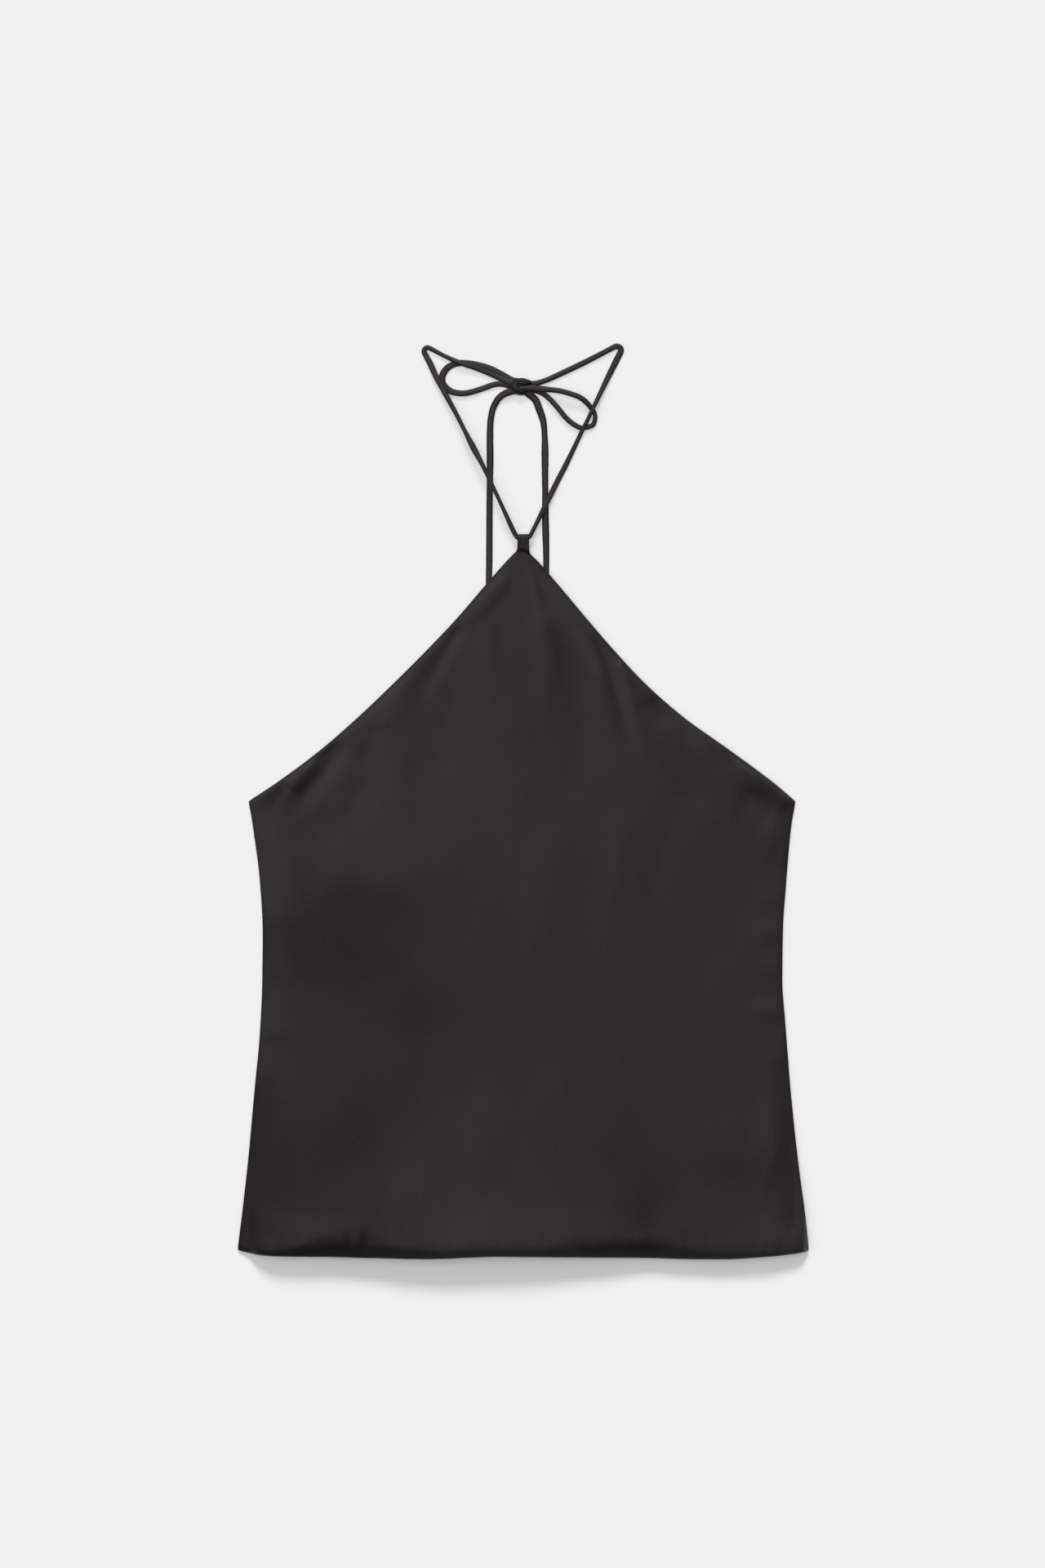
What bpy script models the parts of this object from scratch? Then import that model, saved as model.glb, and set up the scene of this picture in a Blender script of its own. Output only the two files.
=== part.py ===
"""Halter neck top in satin, laid flat on a surface with its front up.

Metres. X runs across the garment, +Y points to the neck and Z = 0 is the surface it lies on.
The origin is under the middle of the body, from the fold of the strap loop to the hem.
"""

import math
from bisect import bisect_right
from collections import namedtuple

import bmesh
import bpy
import numpy as np
from mathutils import Vector

MM = 0.001

# Driving sizes of the body
LOOP_FOLD_Y = 293.6 * MM  # where "down" is 0: the top of the strap loop
CLOTH_WALL = 1.0 * MM
SEAM_GAP = 0.3 * MM
FRONT_ON_BACK = CLOTH_WALL + SEAM_GAP  # height of the front's underside at the side seams
ARMHOLE_DOWN = 217.0 * MM
HEM_TURN_DOWN = 582.0 * MM  # where the hem starts to curl to the surface
HEM_DOWN = 586.3 * MM
HEM_CURL = 4.0 * MM
SIDE_ROLL = 46.0 * MM  # breadth of the rounded strip along each edge

# Driving sizes of the back, which the front hides
BACK_INSET = 0.8 * MM  # its edges lie this far inside the front's
BACK_TOP_DOWN = 218.5 * MM  # its top edge at the armhole corners
BACK_SCOOP = 14.0 * MM  # how far that edge dips in the middle
BACK_HEM_DOWN = 583.5 * MM

# Driving sizes of the tie and of the loop that it runs through
TIE_DIAMETER = 4.4 * MM
TIE_POINT_STEP = 2.0 * TIE_DIAMETER
TIE_POINT_TURN = math.radians(24)
TIE_END = 1.8 * MM  # each stretch starts and ends straight, over this length
LOOP_WIDTH = 9.2 * MM
LOOP_CENTRE_X = 0.2 * MM
LOOP_TIE_Y = 289.9 * MM
LOOP_TIE_Z = 3.75 * MM
LOOP_ROOM = 0.5 * MM  # between the tie and the loop around it
LOOP_SEAM_Y = 278.6 * MM
LOOP_SEAM_SLANT = 0.16  # slope of the seam, which falls to the right
LOOP_THROAT = 7.0 * MM  # length over which the two layers come together
LOOP_ARC_STEPS = 12

# The bow knot is one rounded lump
KNOT_CENTRE = (0.0, 411.9 * MM, 4.8 * MM)
KNOT_HALF = (6.5 * MM, 7.3 * MM, 4.7 * MM)
KNOT_BOXINESS = 0.62  # 1 is an ellipsoid, less is squarer

# Facets
FRONT_COLUMNS = 28
NECK_ROWS = 14
SIDE_ROWS = 21
BACK_COLUMNS = 16
BACK_ROWS = 18

# Half widths of the front, in mm, from the strap loop's seam to the armhole corners
NeckSection = namedtuple("NeckSection", "down left right")
NECK_SECTIONS = (
    NeckSection(15.5, 4.9, 5.2),
    NeckSection(24.1, 13.9, 12.2),
    NeckSection(43.9, 31.6, 29.5),
    NeckSection(70.3, 55.4, 52.4),
    NeckSection(96.7, 80.5, 75.5),
    NeckSection(123.1, 106.9, 100.4),
    NeckSection(149.5, 134.5, 130.9),
    NeckSection(175.9, 165.2, 167.7),
    NeckSection(202.3, 200.6, 203.4),
    NeckSection(217.0, 222.1, 220.4),
)

# Half widths from the armhole corners to the hem, in mm
SideSection = namedtuple("SideSection", "down left right")
SIDE_SECTIONS = (
    SideSection(217.0, 222.1, 220.4),
    SideSection(241.6, 217.8, 215.6),
    SideSection(281.2, 213.0, 212.4),
    SideSection(320.8, 210.6, 209.7),
    SideSection(360.0, 210.9, 209.4),
    SideSection(400.0, 212.7, 212.0),
    SideSection(452.8, 217.8, 216.0),
    SideSection(505.6, 222.4, 221.8),
    SideSection(545.0, 226.4, 226.2),
    SideSection(586.3, 230.3, 230.3),
)

# Height of the front's underside over the surface, in mm: at its edges, half way out and in the middle
LiftSection = namedtuple("LiftSection", "down edge left middle right")
LIFT_SECTIONS = (
    LiftSection(15.5, 3.0, 3.0, 3.0, 3.0),
    LiftSection(28.0, 5.0, 5.3, 5.4, 5.3),
    LiftSection(45.0, 5.3, 6.0, 6.4, 6.0),
    LiftSection(90.0, 4.4, 7.0, 7.8, 7.0),
    LiftSection(150.0, 3.0, 8.0, 9.2, 8.2),
    LiftSection(217.0, 1.3, 8.4, 10.0, 8.6),
    LiftSection(320.0, 1.3, 8.2, 9.6, 7.8),
    LiftSection(440.0, 1.3, 9.0, 10.0, 8.4),
    LiftSection(586.3, 1.3, 9.6, 11.0, 7.6),
)

# The hem's own waves, in mm: height of its underside, and how far it rises to the neck from its lowest line
HemPlace = namedtuple("HemPlace", "across lift rise")
HEM_PLACES = (
    HemPlace(-230.3, 1.3, 6.4),
    HemPlace(-208.0, 7.6, 3.4),
    HemPlace(-170.0, 10.6, 2.6),
    HemPlace(-110.0, 9.8, 1.4),
    HemPlace(-75.0, 11.6, 0.8),
    HemPlace(-30.0, 14.0, 3.2),
    HemPlace(0.0, 13.0, 2.7),
    HemPlace(45.0, 9.4, 2.0),
    HemPlace(99.0, 6.2, 0.9),
    HemPlace(150.0, 9.6, 0.0),
    HemPlace(185.0, 8.4, 1.3),
    HemPlace(208.0, 6.6, 3.8),
    HemPlace(230.3, 1.3, 7.0),
)
HEM_WAVE_START = 470.0  # mm down, where the waves begin to grow

# The largest soft folds of the front, in mm: a ridge has a height above 0, a trough one below 0
Fold = namedtuple("Fold", "across_1 down_1 across_2 down_2 width height")
FRONT_FOLDS = (
    Fold(-12.0, 60.0, -62.0, 250.0, 26.0, 1.4),
    Fold(-62.0, 100.0, -112.0, 190.0, 20.0, -1.5),
    Fold(-118.0, 162.0, -190.0, 236.0, 20.0, -1.6),
    Fold(20.0, 60.0, 34.0, 260.0, 24.0, -1.4),
    Fold(58.0, 90.0, 84.0, 230.0, 24.0, 1.4),
    Fold(146.0, 176.0, 204.0, 228.0, 20.0, -1.5),
    Fold(-40.0, 350.0, -200.0, 520.0, 46.0, -1.8),
    Fold(176.0, 250.0, 70.0, 330.0, 44.0, -1.4),
    Fold(205.0, 505.0, 120.0, 540.0, 34.0, -1.4),
)

# Route points of the tie, in mm (across, up, height), from the loop or the knot outwards
LEFT_RUN = (
    (0.05, 289.9, 3.75), (-2.4, 289.9, 3.75), (-4.6, 290.0, 3.75), (-6.5, 291.0, 3.75), (-7.8, 293.2, 3.8),
    (-10.9, 302.1, 4.2), (-17.0, 315.7, 5.8), (-23.2, 328.9, 7.0), (-26.2, 335.1, 7.1), (-32.7, 348.7, 6.8),
    (-39.7, 361.9, 5.8), (-46.4, 375.1, 5.0), (-53.0, 388.3, 5.2), (-60.1, 401.5, 6.4), (-65.7, 412.0, 7.1),
    (-70.0, 420.0, 6.8), (-74.8, 430.5, 5.2), (-78.3, 437.1, 3.9), (-79.8, 440.0, 3.4), (-79.6, 442.3, 3.1),
    (-78.1, 443.7, 3.0), (-76.0, 443.7, 3.0), (-71.0, 441.1, 4.0), (-65.0, 437.9, 5.6), (-59.1, 435.0, 6.8),
    (-53.1, 432.3, 7.1), (-47.2, 430.1, 7.1), (-39.3, 427.7, 7.1), (-31.4, 424.8, 7.1), (-23.4, 421.4, 7.1),
    (-15.5, 417.8, 7.1), (-10.9, 415.7, 7.0), (-6.8, 414.5, 7.0),
)
LEFT_LOOP = (
    (-7.0, 417.3, 2.3), (-11.2, 419.0, 2.3), (-15.5, 421.4, 2.3), (-19.5, 423.5, 2.3), (-23.4, 425.5, 2.3),
    (-27.4, 427.2, 2.3), (-35.3, 429.5, 2.3), (-43.2, 431.0, 2.3), (-49.2, 431.4, 2.3), (-55.1, 430.5, 2.3),
    (-60.1, 428.1, 2.3), (-63.5, 424.4, 2.3), (-65.3, 420.0, 2.3), (-65.0, 415.6, 2.3), (-62.6, 411.8, 2.3),
    (-58.4, 408.9, 2.3), (-53.1, 407.4, 2.3), (-47.2, 407.2, 2.3), (-41.2, 408.3, 2.3), (-35.3, 410.1, 2.3),
    (-29.4, 412.1, 2.3), (-23.4, 413.8, 2.3), (-17.5, 414.4, 2.3), (-12.2, 413.2, 2.3), (-7.0, 412.5, 2.3),
)
LEFT_TAIL = (
    (-7.0, 408.9, 5.9), (-11.2, 407.9, 5.7), (-15.5, 405.9, 5.2), (-19.5, 402.8, 4.4), (-22.4, 399.1, 3.6),
    (-24.6, 394.5, 2.9), (-26.0, 388.3, 2.4), (-26.8, 380.4, 2.3), (-27.0, 368.5, 2.3), (-26.9, 352.0, 2.3),
    (-27.0, 335.5, 2.3), (-27.3, 319.0, 2.3), (-27.4, 302.5, 2.3), (-27.5, 286.0, 2.3), (-27.6, 269.5, 2.3),
    (-27.8, 255.0, 2.3), (-27.7, 236.5, 2.3), (-26.4, 213.4, 2.3), (-24.4, 190.3, 2.3), (-23.4, 170.5, 2.3),
    (-24.1, 152.0, 2.3),
)
RIGHT_RUN = (
    (0.35, 289.9, 3.75), (2.8, 289.9, 3.75), (5.0, 290.0, 3.75), (6.9, 291.0, 3.75), (8.2, 293.2, 3.8),
    (11.6, 302.5, 4.4), (14.7, 309.1, 5.8), (18.1, 316.0, 7.1), (21.4, 322.6, 7.1), (27.7, 335.5, 6.2),
    (34.5, 348.7, 5.4), (40.9, 361.9, 5.8), (47.2, 375.1, 7.8), (50.6, 381.7, 8.3), (53.8, 388.3, 8.4),
    (57.0, 395.2, 8.2), (61.3, 404.1, 6.6), (66.3, 414.7, 4.6), (71.4, 425.2, 3.2), (76.4, 435.4, 2.5),
    (78.7, 439.9, 2.4), (79.1, 442.3, 2.4), (77.8, 444.2, 2.4), (75.6, 444.8, 2.4), (73.2, 443.9, 2.4),
    (67.8, 441.1, 2.3), (57.6, 435.8, 2.3), (47.1, 430.5, 2.3), (35.9, 425.2, 2.3), (24.4, 419.8, 2.3),
    (17.8, 417.1, 2.3), (11.9, 415.3, 2.3), (6.8, 414.7, 2.3),
)
RIGHT_LOOP = (
    (6.9, 410.6, 7.0), (11.9, 410.3, 7.1), (16.2, 410.1, 7.3), (22.1, 409.9, 7.6), (28.1, 409.3, 7.8),
    (34.0, 407.9, 7.6), (39.9, 406.1, 7.0), (45.9, 403.2, 5.6), (51.2, 399.3, 4.2), (55.2, 394.7, 3.4),
    (57.6, 390.3, 3.1), (57.8, 386.0, 3.0), (55.9, 381.9, 3.0), (52.1, 379.6, 3.1), (47.5, 378.8, 3.3),
    (42.9, 380.7, 3.9), (38.3, 383.8, 4.8), (34.0, 387.9, 5.6), (29.7, 393.3, 6.2), (25.4, 398.4, 6.0),
    (21.1, 402.9, 4.8), (16.7, 406.4, 3.2), (11.9, 408.7, 2.4), (6.9, 409.9, 2.3),
)
RIGHT_TAIL = (
    (5.2, 405.4, 2.3), (8.2, 403.0, 2.3), (10.8, 399.5, 2.3), (13.1, 394.5, 2.3), (15.2, 388.3, 2.3),
    (16.6, 381.7, 2.3), (17.4, 372.4, 2.3), (17.6, 358.6, 2.3), (17.6, 342.1, 2.3), (17.8, 325.6, 2.3),
    (18.0, 309.1, 2.3), (18.2, 295.9, 2.3), (18.5, 279.4, 2.3), (18.7, 262.9, 2.3), (18.9, 243.1, 2.3),
    (19.8, 220.0, 2.3), (21.4, 196.9, 2.3), (22.1, 173.8, 2.3), (21.1, 153.3, 2.3),
)
TIES = {
    "tie_left_run": LEFT_RUN,
    "tie_left_loop": LEFT_LOOP,
    "tie_left_tail": LEFT_TAIL,
    "tie_right_run": RIGHT_RUN,
    "tie_right_loop": RIGHT_LOOP,
    "tie_right_tail": RIGHT_TAIL,
}


def satin(name, shade, roughness):
    """A soft black satin: a Principled surface of one colour."""
    material = bpy.data.materials.new(name)
    material.use_nodes = True
    surface = material.node_tree.nodes["Principled BSDF"]
    surface.inputs["Base Color"].default_value = (shade * 1.06, shade, shade * 1.02, 1.0)
    surface.inputs["Roughness"].default_value = roughness
    surface.inputs["Metallic"].default_value = 0.0
    return material


def add_object(name, data, material):
    """Link a mesh or curve to the scene under the sub-part's name."""
    data.materials.append(material)
    piece = bpy.data.objects.new(name, data)
    bpy.context.collection.objects.link(piece)
    return piece


def smooth_curve(places, values):
    """A smooth function through each value at its place, which never swings past them."""
    places = np.asarray(places, dtype=float)
    values = np.asarray(values, dtype=float)
    rises = np.diff(values) / np.diff(places)
    slopes = np.concatenate((rises[:1], np.zeros(len(rises) - 1), rises[-1:]))
    for k, (before, after) in enumerate(zip(rises, rises[1:]), start=1):
        if before * after > 0.0:
            slopes[k] = 2.0 * before * after / (before + after)

    def value_at(place):
        k = min(max(bisect_right(places, place) - 1, 0), len(places) - 2)
        span = places[k + 1] - places[k]
        t = min(max((place - places[k]) / span, 0.0), 1.0)
        start = (1 + 2 * t) * (1 - t) ** 2 * values[k] + t * (1 - t) ** 2 * span * slopes[k]
        end = t * t * (3 - 2 * t) * values[k + 1] + t * t * (t - 1) * span * slopes[k + 1]
        return float(start + end)

    return value_at


def column_curve(table, key, column):
    """A smooth function from a table's named key to one of its named columns, both in mm."""
    return smooth_curve([getattr(row, key) for row in table], [getattr(row, column) for row in table])


def ease(low, high, place):
    """0 below low, 1 above high, smooth between."""
    t = min(max((place - low) / (high - low), 0.0), 1.0)
    return t * t * (3 - 2 * t)


neck_left = column_curve(NECK_SECTIONS, "down", "left")
neck_right = column_curve(NECK_SECTIONS, "down", "right")
side_left = column_curve(SIDE_SECTIONS, "down", "left")
side_right = column_curve(SIDE_SECTIONS, "down", "right")
edge_lift = column_curve(LIFT_SECTIONS, "down", "edge")
left_lift = column_curve(LIFT_SECTIONS, "down", "left")
middle_lift = column_curve(LIFT_SECTIONS, "down", "middle")
right_lift = column_curve(LIFT_SECTIONS, "down", "right")
hem_lift = column_curve(HEM_PLACES, "across", "lift")
hem_rise = column_curve(HEM_PLACES, "across", "rise")


def front_edges(down):
    """Across of the front's left and right edges at a place down the garment, in mm."""
    if down <= ARMHOLE_DOWN / MM:
        return -neck_left(down), neck_right(down)
    return -side_left(down), side_right(down)


def fold_height(fold, across, down):
    """What one soft fold adds at a point: a bell across it, fading out to both ends."""
    run = Vector((fold.across_2 - fold.across_1, fold.down_2 - fold.down_1))
    point = Vector((across - fold.across_1, down - fold.down_1))
    along = point.dot(run) / run.length_squared
    if along <= 0.0 or along >= 1.0:
        return 0.0
    aside = abs(run.x * point.y - run.y * point.x) / run.length
    return fold.height * math.sin(math.pi * along) * math.exp(-((aside / (0.5 * fold.width)) ** 2))


def hem_share(down):
    """How much of the hem's own waves shows at a place down the garment, from 0 to 1."""
    return ease(HEM_WAVE_START, HEM_TURN_DOWN / MM, down)


def front_lift(across, down):
    """Height of the front's underside at a point, in mm."""
    left, right = front_edges(min(down, HEM_DOWN / MM))
    half = 0.5 * (right - left)
    u = (across - 0.5 * (left + right)) / half
    body = smooth_curve((-1.0, 0.0, 1.0), (left_lift(down), middle_lift(down), right_lift(down)))(u)
    rim = edge_lift(down)
    roll = min(SIDE_ROLL / MM, 0.8 * half)
    inside = 1.0 - min((1.0 - abs(u)) * half / roll, 1.0)
    bulge = 1.0 - inside ** 2.4
    height = rim + (body - rim) * bulge
    height += (hem_lift(across) - height) * hem_share(down)
    folds = sum(fold_height(fold, across, down) for fold in FRONT_FOLDS)
    return height + folds * bulge


def grid_mesh(name, rows):
    """A sheet of quads from rows of points, its faces up."""
    grid = bmesh.new()
    lines = [[grid.verts.new(point) for point in row] for row in rows]
    for upper, lower in zip(lines, lines[1:]):
        for k in range(len(upper) - 1):
            grid.faces.new((upper[k], lower[k], lower[k + 1], upper[k + 1]))
    mesh = bpy.data.meshes.new(name)
    grid.to_mesh(mesh)
    grid.free()
    return mesh


def cloth_panel(name, rows, material):
    """A panel whose underside is the given sheet, with the cloth's wall on top of it."""
    panel = add_object(name, grid_mesh(name, rows), material)
    wall = panel.modifiers.new("wall", "SOLIDIFY")
    wall.thickness = CLOTH_WALL
    wall.offset = 1.0
    wall.use_even_offset = True
    wall.use_rim = True
    return panel


def world_y(across, down):
    """World Y of a point of the front, with the hem's rise."""
    return LOOP_FOLD_Y - (down - hem_rise(across) * hem_share(down)) * MM


def front_rows():
    """Points of the front's underside, row by row from the strap loop to the curled hem."""
    top = NECK_SECTIONS[0].down
    corner = ARMHOLE_DOWN / MM
    turn = HEM_TURN_DOWN / MM
    downs = [top + (corner - top) * (k / NECK_ROWS) ** 1.15 for k in range(NECK_ROWS)]
    downs += [corner + (turn - corner) * k / SIDE_ROWS for k in range(SIDE_ROWS + 1)]
    rows = []
    for down in downs:
        left, right = front_edges(down)
        slant = LOOP_SEAM_SLANT * ease(60.0, top, down)
        row = []
        for k in range(FRONT_COLUMNS + 1):
            across = left + (right - left) * k / FRONT_COLUMNS
            height = front_lift(across, down)
            row.append((across * MM, world_y(across, down) - slant * across * MM, height * MM))
        rows.append(row)
    # the hem curls down over its last few millimetres, on an arc
    for step in (0.5, 1.0):
        angle = step * math.radians(75)
        down = turn + (HEM_DOWN / MM - turn) * math.sin(angle) / math.sin(math.radians(75))
        left, right = front_edges(down)
        row = []
        for k in range(FRONT_COLUMNS + 1):
            across = left + (right - left) * k / FRONT_COLUMNS
            room = max(front_lift(across, turn) - FRONT_ON_BACK / MM, 0.0)
            drop = min(HEM_CURL / MM, room) * (1 - math.cos(angle))
            height = front_lift(across, turn) - drop
            row.append((across * MM, world_y(across, down), height * MM))
        rows.append(row)
    return rows


def make_front():
    """The front: pointed at the strap loop, lifted off the back between its side seams."""
    return cloth_panel("front_panel", front_rows(), satin("front_satin", 0.029, 0.42))


def make_back():
    """The back: flat on the surface, from a shallow scoop between the armholes down to the hem."""
    rows = []
    for r in range(BACK_ROWS + 1):
        t = r / BACK_ROWS
        row = []
        for k in range(BACK_COLUMNS + 1):
            u = 2.0 * k / BACK_COLUMNS - 1.0
            top = (BACK_TOP_DOWN + BACK_SCOOP * (1.0 - u * u)) / MM
            down = top + (BACK_HEM_DOWN / MM - top) * t
            left, right = front_edges(down)
            across = 0.5 * (left + right) + u * (0.5 * (right - left) - BACK_INSET / MM)
            row.append((across * MM, world_y(across, down), 0.0))
        rows.append(row)
    return cloth_panel("back_panel", rows, satin("back_satin", 0.027, 0.45))


def make_strap_loop():
    """A strip doubled over the tie, its two ends together at the front's point."""
    inner = 0.5 * TIE_DIAMETER + LOOP_ROOM
    closed = 0.5 * SEAM_GAP
    throat_y = LOOP_TIE_Y - LOOP_THROAT
    profile = [(LOOP_SEAM_Y, LOOP_TIE_Z + closed), (throat_y, LOOP_TIE_Z + closed)]
    # from the throat the layer swings out in an S to the round end
    for step in (0.25, 0.5, 0.75):
        swing = ease(0.0, 1.0, step)
        profile.append((throat_y + LOOP_THROAT * step, LOOP_TIE_Z + closed + (inner - closed) * swing))
    arc = []
    for k in range(LOOP_ARC_STEPS + 1):
        angle = math.pi * k / LOOP_ARC_STEPS - math.pi / 2
        arc.append((LOOP_TIE_Y + inner * math.cos(angle), LOOP_TIE_Z - inner * math.sin(angle)))
    under = [(y, 2 * LOOP_TIE_Z - z) for y, z in reversed(profile)]
    line = profile + arc + under
    rows = []
    for side in (-0.5, 0.5):
        across = LOOP_CENTRE_X + side * LOOP_WIDTH
        row = []
        for y, z in line:
            near_seam = ease(throat_y, LOOP_SEAM_Y, y)
            row.append((across, y - LOOP_SEAM_SLANT * across * near_seam, z))
        rows.append(row)
    return cloth_panel("strap_loop", rows, satin("loop_satin", 0.030, 0.50))


def smooth_route(points):
    """Closely spaced points of a smooth curve through the route's own points."""
    points = [Vector(point) * MM for point in points]
    ends = [2 * points[0] - points[1]] + points + [2 * points[-1] - points[-2]]
    line = []
    for before, start, end, after in zip(ends, ends[1:], ends[2:], ends[3:]):
        steps = max(int((end - start).length / (0.5 * MM)), 4)
        for k in range(steps):
            t = k / steps
            line.append(0.5 * (
                2 * start
                + (end - before) * t
                + (2 * before - 5 * start + 4 * end - after) * t * t
                + (3 * start - before - 3 * end + after) * t ** 3
            ))
    line.append(points[-1])
    return line


def tube_points(line):
    """Points for the tube: one every two diameters, or sooner where the line has turned."""
    straight = [
        point for point in line
        if min((point - line[0]).length, (point - line[-1]).length) >= TIE_END
    ]
    chosen = [line[0], straight[0]]
    heading = (straight[0] - line[0]).normalized()
    run = 0.0
    for before, point in zip(straight, straight[1:]):
        step = point - before
        run += step.length
        if run >= TIE_POINT_STEP or step.angle(heading) >= TIE_POINT_TURN:
            chosen.append(point)
            heading = step.normalized()
            run = 0.0
    if (straight[-1] - chosen[-1]).length < 0.3 * TIE_DIAMETER:
        chosen.pop()
    return chosen + [straight[-1], line[-1]]


def make_tie(name, points, material):
    """One stretch of the rouleau tie: a round tube with flat ends along its route."""
    curve = bpy.data.curves.new(name, "CURVE")
    curve.dimensions = "3D"
    curve.bevel_depth = 0.5 * TIE_DIAMETER
    curve.bevel_resolution = 2
    curve.use_fill_caps = True
    line = tube_points(smooth_route(points))
    spline = curve.splines.new("POLY")
    spline.points.add(len(line) - 1)
    for place, point in zip(spline.points, line):
        place.co = (*point, 1.0)
    return add_object(name, curve, material)


def make_knot(material):
    """The knot's outer form: a sphere swelled to a rounded box, on the surface."""
    lump = bmesh.new()
    bmesh.ops.create_uvsphere(lump, u_segments=18, v_segments=10, radius=1.0)
    for vert in lump.verts:
        for axis in range(3):
            size = abs(vert.co[axis]) ** KNOT_BOXINESS
            vert.co[axis] = KNOT_CENTRE[axis] + KNOT_HALF[axis] * math.copysign(size, vert.co[axis])
    mesh = bpy.data.meshes.new("bow_knot")
    lump.to_mesh(mesh)
    lump.free()
    return add_object("bow_knot", mesh, material)


def main():
    for old in list(bpy.data.objects):
        bpy.data.objects.remove(old)
    make_front()
    make_back()
    make_strap_loop()
    tie_satin = satin("tie_satin", 0.026, 0.45)
    for name, points in TIES.items():
        make_tie(name, points, tie_satin)
    make_knot(tie_satin)


main()
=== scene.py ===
# Halter neck top in black satin, laid flat with its front up.
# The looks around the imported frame, in metres: +X to the right, +Y to the neck, floor at Z = 0.
import math
from collections import namedtuple

import bmesh
import bpy
import numpy as np
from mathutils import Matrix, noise


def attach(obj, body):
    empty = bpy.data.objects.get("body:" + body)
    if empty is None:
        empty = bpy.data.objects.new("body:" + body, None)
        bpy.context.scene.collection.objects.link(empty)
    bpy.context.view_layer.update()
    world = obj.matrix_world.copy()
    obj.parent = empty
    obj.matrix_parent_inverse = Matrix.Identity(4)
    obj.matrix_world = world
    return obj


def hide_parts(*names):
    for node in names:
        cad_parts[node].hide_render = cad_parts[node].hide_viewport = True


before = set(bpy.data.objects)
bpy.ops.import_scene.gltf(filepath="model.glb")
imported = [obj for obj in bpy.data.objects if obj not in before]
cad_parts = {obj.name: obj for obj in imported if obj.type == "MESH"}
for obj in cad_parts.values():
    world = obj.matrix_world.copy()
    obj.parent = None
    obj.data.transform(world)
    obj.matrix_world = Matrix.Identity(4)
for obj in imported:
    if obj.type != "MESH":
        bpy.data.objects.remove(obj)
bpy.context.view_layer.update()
mm = 0.001
print("frame loaded:", len(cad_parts), "nodes")


# Small tools: node maths, node trees, smooth curves, meshes

class Flow:
    # a socket of a node tree; sums written with it become Math nodes
    def __init__(self, tree, socket=None):
        self.tree = tree
        self.socket = socket

    def node(self, kind, settings=None, inputs=None, output=0):
        made = self.tree.nodes.new(kind)
        for name, value in (settings or {}).items():
            setattr(made, name, value)
        for name, value in (inputs or {}).items():
            if isinstance(value, Flow):
                self.tree.links.new(value.socket, made.inputs[name])
            else:
                made.inputs[name].default_value = value
        return Flow(self.tree, made.outputs[output])

    def maths(self, operation, *values):
        return self.node("ShaderNodeMath", {"operation": operation}, dict(enumerate(values)))

    def vector(self, operation, *others, output=0):
        inputs = dict(enumerate((self, *others)))
        if operation == "SCALE":
            inputs = {0: self, "Scale": others[0]}
        return self.node("ShaderNodeVectorMath", {"operation": operation}, inputs, output)

    def output(self, name):
        # another socket of the same node
        return Flow(self.tree, self.socket.node.outputs[name])

    def __add__(self, other):
        return self.maths("ADD", self, other)

    def __sub__(self, other):
        return self.maths("SUBTRACT", self, other)

    def __rsub__(self, other):
        return self.maths("SUBTRACT", other, self)

    def __mul__(self, other):
        return self.maths("MULTIPLY", self, other)

    def __truediv__(self, other):
        return self.maths("DIVIDE", self, other)

    def __pow__(self, other):
        return self.maths("POWER", self, other)

    __radd__ = __add__
    __rmul__ = __mul__


def newTree(name, inputs):
    tree = bpy.data.node_groups.new(name, "GeometryNodeTree")
    face = tree.interface
    face.new_socket("Geometry", in_out="INPUT", socket_type="NodeSocketGeometry")
    for label, kind in inputs.items():
        face.new_socket(label, in_out="INPUT", socket_type="NodeSocket" + kind)
    face.new_socket("Geometry", in_out="OUTPUT", socket_type="NodeSocketGeometry")
    entry = tree.nodes.new("NodeGroupInput")
    return tree, {socket.name: Flow(tree, socket) for socket in entry.outputs if socket.name}


def endTree(tree, shape, material):
    # every tree ends in real faces with a finish
    shape = shape.node("GeometryNodeRealizeInstances", None, {"Geometry": shape})
    shape = shape.node("GeometryNodeSetMaterial", None, {"Geometry": shape, "Material": material})
    leave = tree.nodes.new("NodeGroupOutput")
    tree.links.new(shape.socket, leave.inputs[0])
    return tree


def growTree(piece, tree, values):
    # runs a tree on a piece and keeps the result as a plain mesh
    modifier = piece.modifiers.new(tree.name, "NODES")
    modifier.node_group = tree
    for item in tree.interface.items_tree:
        if item.item_type == "SOCKET" and item.in_out == "INPUT" and item.name in values:
            modifier[item.identifier] = values[item.name]
    return keepMesh(piece)


def keepMesh(piece):
    # what the modifiers give becomes the piece's own mesh
    graph = bpy.context.evaluated_depsgraph_get()
    mesh = bpy.data.meshes.new_from_object(
        piece.evaluated_get(graph), preserve_all_data_layers=True, depsgraph=graph)
    piece.modifiers.clear()
    piece.data = mesh
    mesh.name = piece.name
    return piece


def newPiece(name, mesh, material=None):
    piece = bpy.data.objects.new(name, mesh)
    bpy.context.collection.objects.link(piece)
    if material:
        mesh.materials.append(material)
    return piece


def dress(piece, slot, *replaced):
    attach(piece, "root")
    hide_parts(*replaced)


def ease(low, high, place):
    t = np.clip((place - low) / (high - low), 0.0, 1.0)
    return t * t * (3 - 2 * t)


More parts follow.
